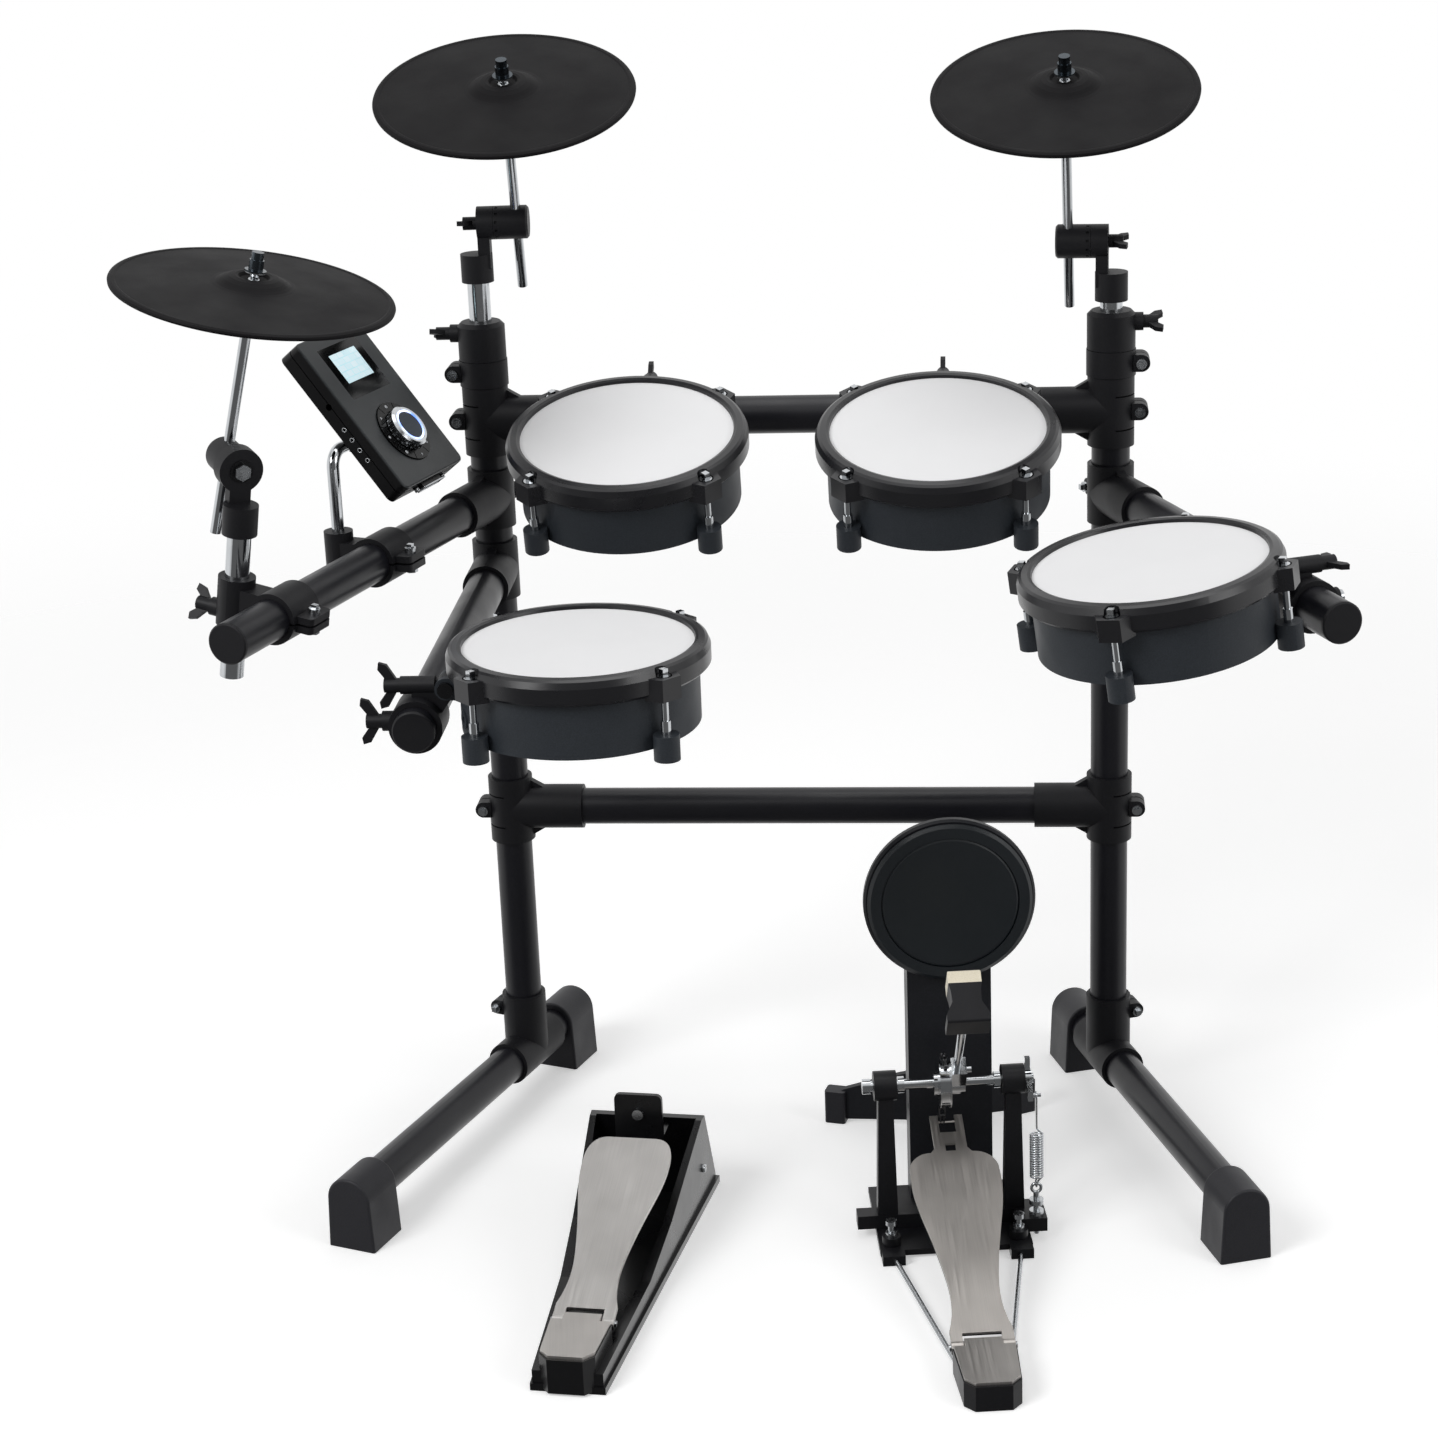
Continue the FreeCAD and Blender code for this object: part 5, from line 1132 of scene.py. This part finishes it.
@dataclass
class SoundModule(SubAssembly):
    """Sound module with its key marks, light ring, eyelets and multi-pin socket."""

    place: LocalFrame = field(default_factory=module_frame)
    length_mm: float = 172.0
    width_mm: float = 118.0
    thickness_mm: float = 24.0
    dial_part: float = 0.30
    round_sides: int = 8
    light_circle_mm: float = 16.06
    light_height_mm: float = 11.3
    light_radius_mm: float = 1.0
    light_steps: int = 64
    light_sides: int = 10
    keys: int = 8
    key_circle_mm: float = 28.4
    key_top_mm: float = 1.6
    mark_corners: Sequence[int] = (16, 4, 3)
    mark_mm: float = 1.9
    mark_depth_mm: float = 0.2
    mark_rise_mm: float = 0.08
    eyelets: int = 4
    eyelet_part: float = 0.26
    eyelet_step: float = 0.07
    eyelet_depth: float = 0.62
    eyelet_radius_mm: float = 2.0
    eyelet_steps: int = 20
    eyelet_wire_mm: float = 1.2
    socket_depth: float = 0.5
    socket_plan_mm: Sequence[Tuple[float, float]] = ((-21.0, -4.6), (21.0, -4.6), (18.6, 4.6), (-18.6, 4.6))
    socket_rise_mm: float = 4.6
    socket_round_mm: float = 2.0
    socket_round_steps: int = 6
    socket_wire_mm: float = 1.8
    pins: int = 12
    pin_rows: int = 2
    pin_spacing_mm: float = 2.7
    pin_row_mm: float = 2.6
    pin_radius_mm: float = 0.55
    pin_length_mm: float = 0.8
    pin_rise_mm: float = 4.7
    screw_spacing_mm: float = 52.0
    screw_radius_mm: float = 2.6
    screw_length_mm: float = 5.0
    screw_rise_mm: float = 2.4

    def build(self) -> None:
        """Make the light ring, the marks, the eyelets and the socket trim."""
        self.build_light_ring()
        self.build_key_marks()
        self.build_eyelets()
        self.build_socket_rim()
        self.build_socket_pins()
        self.build_socket_screws()

    def below(self, rise_mm: float) -> Matrix:
        """Place a piece on the lower end of the case, in the middle of the socket.

        Args:
            rise_mm: Distance of the piece from the end of the case.

        Returns:
            Matrix with z out of the end of the case and y up the thickness.
        """
        bottom = -self.length_mm * self.dial_part
        spot = self.place.moved(0, bottom - rise_mm, -self.thickness_mm * self.socket_depth)
        return spot @ Matrix.Rotation(QUARTER_TURN, 4, "X")

    def build_light_ring(self) -> None:
        """Bend a clear light guide into the groove of the dial."""
        shape = ShapeTree("ring_of_light", ("Circle Radius", "Guide Radius"))
        line = add_node(shape.tree, "GeometryNodeCurvePrimitiveCircle",
                        {"Resolution": self.light_steps, "Radius": shape.given["Circle Radius"]})
        shape.end(shape.tube(line, "Guide Radius", self.light_sides))
        guide = LightGuide("blue_light_guide", "#5f86ff", 0.3, place=self.place)
        sizes = {"Circle Radius": self.light_circle_mm, "Guide Radius": self.light_radius_mm}
        piece = shape.piece("dial_light_ring", sizes, guide, self.place.moved(0, 0, self.light_height_mm))
        carry(piece, Body.DIAL)

    def build_key_marks(self) -> None:
        """Print a plain mark on each key of the ring: a dot, a square or an arrow in turn."""
        shape = ShapeTree("marks_round_keys", ("Circle Radius", "Mark Size", "Count"))
        tree, given = shape.tree, shape.given
        circle = add_node(tree, "GeometryNodeMeshCircle",
                          {"Vertices": given["Count"], "Radius": given["Circle Radius"]})
        marks = add_node(tree, "GeometryNodeJoinGeometry")
        for corners in self.mark_corners:
            mark = add_node(tree, "GeometryNodeMeshCylinder",
                            {"Vertices": corners, "Radius": given["Mark Size"],
                             "Depth": self.mark_depth_mm * MM})
            feed(tree, marks, {0: add_node(tree, "GeometryNodeGeometryToInstance", {0: mark})})
        number = add_node(tree, "GeometryNodeInputIndex")
        kind = add_node(tree, "ShaderNodeMath", {0: number, 1: len(self.mark_corners)}, operation="MODULO")
        shape.end(add_node(tree, "GeometryNodeInstanceOnPoints",
                           {"Points": circle, "Instance": marks, "Pick Instance": True,
                            "Instance Index": kind}))
        sizes = {"Circle Radius": self.key_circle_mm, "Mark Size": self.mark_mm, "Count": self.keys}
        place = self.place.moved(0, 0, self.key_top_mm + self.mark_rise_mm)
        carry(shape.piece("module_key_marks", sizes, KEY_INK, place), Body.MENU)

    def build_eyelets(self) -> None:
        """Set a bright eyelet round each small socket in the long side of the case."""
        shape = ShapeTree("row_of_eyelets", ("Eyelet Radius", "Wire Radius", "Spacing", "Count"))
        tree, given = shape.tree, shape.given
        line = add_node(tree, "GeometryNodeCurvePrimitiveCircle",
                        {"Resolution": self.eyelet_steps, "Radius": given["Eyelet Radius"]})
        step = add_node(tree, "ShaderNodeCombineXYZ", {1: given["Spacing"]})
        row = add_node(tree, "GeometryNodeMeshLine", {"Count": given["Count"], "Offset": step})
        shape.end(add_node(tree, "GeometryNodeInstanceOnPoints",
                           {"Points": row, "Instance": shape.tube(line, "Wire Radius", self.round_sides),
                            "Rotation": (0, QUARTER_TURN, 0)}))
        first = self.place.moved(-self.width_mm / 2.0, self.length_mm * (self.eyelet_part - self.dial_part),
                                 -self.thickness_mm * self.eyelet_depth)
        sizes = {"Eyelet Radius": self.eyelet_radius_mm, "Wire Radius": self.eyelet_wire_mm / 2.0,
                 "Spacing": self.length_mm * self.eyelet_step, "Count": self.eyelets}
        carry(shape.piece("module_side_eyelets", sizes, CHROME, first), Body.MODULE)

    def build_socket_rim(self) -> None:
        """Bend the bright flange round the multi-pin socket."""
        shape = ShapeTree("socket_rim", ("Wire Radius",))
        rounded = add_node(shape.tree, "GeometryNodeFilletCurve",
                           {0: shape.given["Geometry"], "Count": self.socket_round_steps,
                            "Radius": self.socket_round_mm * MM}, mode="POLY")
        shape.end(shape.tube(rounded, "Wire Radius", self.round_sides))
        corners = [(x, y, 0.0) for x, y in self.socket_plan_mm]
        piece = shape.piece("module_socket_rim", {"Wire Radius": self.socket_wire_mm / 2.0}, CHROME,
                            self.below(self.socket_rise_mm), wire_line("socket_line", corners, closed=True))
        carry(piece, Body.MODULE)

    def build_socket_pins(self) -> None:
        """Stand two rows of contact pins in the socket."""
        shape = ShapeTree("socket_pins", ("Pin Spacing", "Row Spacing", "Pin Radius"))
        tree, given = shape.tree, shape.given
        width = add_node(tree, "ShaderNodeMath", {0: given["Pin Spacing"], 1: self.pins - 1},
                         operation="MULTIPLY")
        rows = add_node(tree, "GeometryNodeMeshGrid", {"Size X": width, "Size Y": given["Row Spacing"],
                                                       "Vertices X": self.pins, "Vertices Y": self.pin_rows})
        pin = add_node(tree, "GeometryNodeMeshCylinder",
                       {"Vertices": self.round_sides, "Radius": given["Pin Radius"],
                        "Depth": self.pin_length_mm * MM})
        shape.end(add_node(tree, "GeometryNodeInstanceOnPoints", {"Points": rows, "Instance": pin}))
        sizes = {"Pin Spacing": self.pin_spacing_mm, "Row Spacing": self.pin_row_mm,
                 "Pin Radius": self.pin_radius_mm}
        piece = shape.piece("module_socket_pins", sizes, ZINC, self.below(self.pin_rise_mm))
        carry(piece, Body.MODULE)

    def build_socket_screws(self) -> None:
        """Set a thumbscrew at each end of the socket."""
        name = "module_socket_screws"
        sizes = {"Spacing": self.screw_spacing_mm, "Radius": self.screw_radius_mm,
                 "Length": self.screw_length_mm}
        piece = paired_screws(name, (0, 0, 0)).piece(name, sizes, ZINC, self.below(self.screw_rise_mm))
        carry(piece, Body.MODULE)

    def dress(self) -> None:
        """Finish the case, screen, dial, keys and rod."""
        dress("module_case", ModuleCase("satin_black_abs_case", "#36393b", 0.34, place=self.place))
        dress("module_screen", LcdGlass("backlit_lcd", "#d8f1f8", 0.15, place=self.place))
        dress("jog_dial", DialMetal("turned_dial_metal", "#c6c9cc", 0.16, place=self.place))
        dress("menu_ring", KEY_ABS)
        dress("module_rod", CHROME)


@dataclass(frozen=True)
class Lamp:
    name: str
    place_m: Point
    size_m: float
    watts: float


@dataclass
class Studio:
    """Pale floor, soft lamps and the camera of the photograph."""

    lens_mm: float = 75.90
    sensor_mm: float = 36.0
    far_m: float = 50.0
    offset_m: Point = (0.22995, -2.95769, 1.46061)
    pitch: float = 0.33439
    yaw: float = 0.10755
    roll: float = -0.04016
    floor_radius_m: float = 3.6
    floor_sides: int = 96
    floor_drop_m: float = 0.0005
    fade_m: Tuple[float, float] = (1.1, 3.2)
    floor_glow: float = 0.40
    ambient: float = 0.36
    dark_side: float = 0.14
    backdrop: Tuple[float, float] = (0.0, 0.6)
    ceiling: Tuple[float, float] = (0.4, 0.85)
    side_walls: Tuple[float, float] = (0.72, 0.95)
    lamp_middle_m: Point = (0, -0.25, 0.55)
    lamps: Sequence[Lamp] = (Lamp("key_lamp", (-2.2, -2.4, 2.3), 1.8, 70.0),
                             Lamp("fill_lamp", (2.6, -1.6, 1.4), 1.6, 20.0),
                             Lamp("top_lamp", (0.2, 0.3, 2.6), 2.0, 18.0))

    def middle(self) -> Vector:
        """Return the point on the floor between the uprights."""
        low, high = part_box("uprights")
        return Vector(((low[0] + high[0]) / 2.0, (low[1] + high[1]) / 2.0, 0.0))

    def build(self) -> None:
        """Set up floor, world, lamps and camera."""
        bpy.context.scene.view_settings.view_transform = "Standard"
        self.build_floor()
        self.build_world()
        self.build_lamps()
        self.build_camera()

    def build_floor(self) -> None:
        """Lay a round floor that takes the shadow, fades into the background and stays out of reflections."""
        mesh = bpy.data.meshes.new("floor")
        turns = [2.0 * math.pi * k / self.floor_sides for k in range(self.floor_sides)]
        ring = [(self.floor_radius_m * math.cos(a), self.floor_radius_m * math.sin(a), -self.floor_drop_m)
                for a in turns]
        mesh.from_pydata(ring, [], [list(range(self.floor_sides))])
        floor = bpy.data.objects.new("floor", mesh)
        bpy.context.scene.collection.objects.link(floor)
        material = bpy.data.materials.new("white_paper_floor")
        material.use_nodes = True
        tree = material.node_tree
        tree.nodes.clear()
        own = add_node(tree, "ShaderNodeTexCoord").outputs["Object"]
        away = add_node(tree, "ShaderNodeVectorMath", {0: own}, operation="LENGTH").outputs["Value"]
        fade = add_node(tree, "ShaderNodeMapRange",
                        {"Value": away, "From Min": self.fade_m[0], "From Max": self.fade_m[1]},
                        interpolation_type="SMOOTHSTEP")
        rays = add_node(tree, "ShaderNodeLightPath").outputs
        paper = add_node(tree, "ShaderNodeBsdfDiffuse", {"Color": linear("#f2f2f2")})
        glow = add_node(tree, "ShaderNodeEmission", {"Color": linear("#ffffff"), "Strength": self.floor_glow})
        bright = add_node(tree, "ShaderNodeAddShader", {0: paper, 1: glow})
        seen = add_node(tree, "ShaderNodeMixShader", {0: rays["Is Camera Ray"], 1: paper, 2: bright})
        gone = add_node(tree, "ShaderNodeMath", {0: fade, 1: rays["Is Glossy Ray"]}, operation="MAXIMUM")
        nothing = add_node(tree, "ShaderNodeBsdfTransparent")
        faded = add_node(tree, "ShaderNodeMixShader", {0: gone, 1: seen, 2: nothing})
        add_node(tree, "ShaderNodeOutputMaterial", {"Surface": faded})
        mesh.materials.append(material)

    def build_world(self) -> None:
        """Make a white background that lights softly; reflections see bright walls and a dark camera side."""
        world = bpy.data.worlds.new("studio")
        bpy.context.scene.world = world
        world.use_nodes = True
        tree = world.node_tree
        tree.nodes.clear()
        ahead = add_node(tree, "ShaderNodeTexCoord").outputs["Generated"]
        axes = add_node(tree, "ShaderNodeSeparateXYZ", {0: ahead}).outputs
        across = add_node(tree, "ShaderNodeMath", {0: axes["X"]}, operation="ABSOLUTE")
        lit: Any = 0.0
        for way, edge in ((axes["Y"], self.backdrop), (axes["Z"], self.ceiling), (across, self.side_walls)):
            wall = add_node(tree, "ShaderNodeMapRange",
                            {"Value": way, "From Min": edge[0], "From Max": edge[1]},
                            interpolation_type="SMOOTHSTEP")
            lit = add_node(tree, "ShaderNodeMath", {0: wall, 1: lit}, operation="MAXIMUM")
        level = add_node(tree, "ShaderNodeMapRange", {"Value": lit, "To Min": self.dark_side})
        rays = add_node(tree, "ShaderNodeLightPath").outputs
        shown = add_node(tree, "ShaderNodeMath", {0: rays["Is Camera Ray"], 1: rays["Is Transmission Ray"]},
                         operation="MAXIMUM")
        soft, white, room = (
            add_node(tree, "ShaderNodeBackground", {"Color": linear("#ffffff"), "Strength": strength})
            for strength in (self.ambient, 1.0, level))
        around = add_node(tree, "ShaderNodeMixShader", {0: rays["Is Glossy Ray"], 1: soft, 2: room})
        mixed = add_node(tree, "ShaderNodeMixShader", {0: shown, 1: around, 2: white})
        add_node(tree, "ShaderNodeOutputWorld", {"Surface": mixed})

    def build_lamps(self) -> None:
        """Hang the soft boxes: a large key from the front left, a fill and a top light."""
        middle = self.middle() + Vector(self.lamp_middle_m)
        for one in self.lamps:
            lamp = bpy.data.lights.new(one.name, "AREA")
            lamp.shape = "DISK"
            lamp.size = one.size_m
            lamp.energy = one.watts
            holder = bpy.data.objects.new(one.name, lamp)
            holder.location = middle + Vector(one.place_m)
            holder.rotation_euler = Vector(one.place_m).to_track_quat("Z", "Y").to_euler()
            bpy.context.scene.collection.objects.link(holder)

    def build_camera(self) -> None:
        """Place the camera where the photograph was taken from."""
        lens = bpy.data.cameras.new("camera")
        lens.sensor_width = self.sensor_mm
        lens.lens = self.lens_mm
        lens.clip_end = self.far_m
        camera = bpy.data.objects.new("camera", lens)
        ahead = Vector((-math.sin(self.yaw) * math.cos(self.pitch), math.cos(self.yaw) * math.cos(self.pitch),
                        -math.sin(self.pitch)))
        level = Vector((math.cos(self.yaw), math.sin(self.yaw), 0.0))
        upright = level.cross(ahead)
        right = level * math.cos(self.roll) + upright * math.sin(self.roll)
        up = upright * math.cos(self.roll) - level * math.sin(self.roll)
        turn = Matrix((right, up, -ahead)).transposed().to_4x4()
        camera.matrix_world = Matrix.Translation(self.middle() + Vector(self.offset_m)) @ turn
        bpy.context.scene.collection.objects.link(camera)
        bpy.context.scene.camera = camera


def main() -> None:
    logging.basicConfig(level=logging.INFO, format="%(name)s: %(message)s")
    Studio().build()
    parts: List[SubAssembly] = [Rack(), KickPedal(), HihatPedal(), SoundModule()]
    parts += [Cymbal(name) for name in CYMBALS]
    parts += [DrumPad(name) for name in DRUMS]
    for part in parts:
        part.build()
        part.dress()


if __name__ == "__main__":
    main()
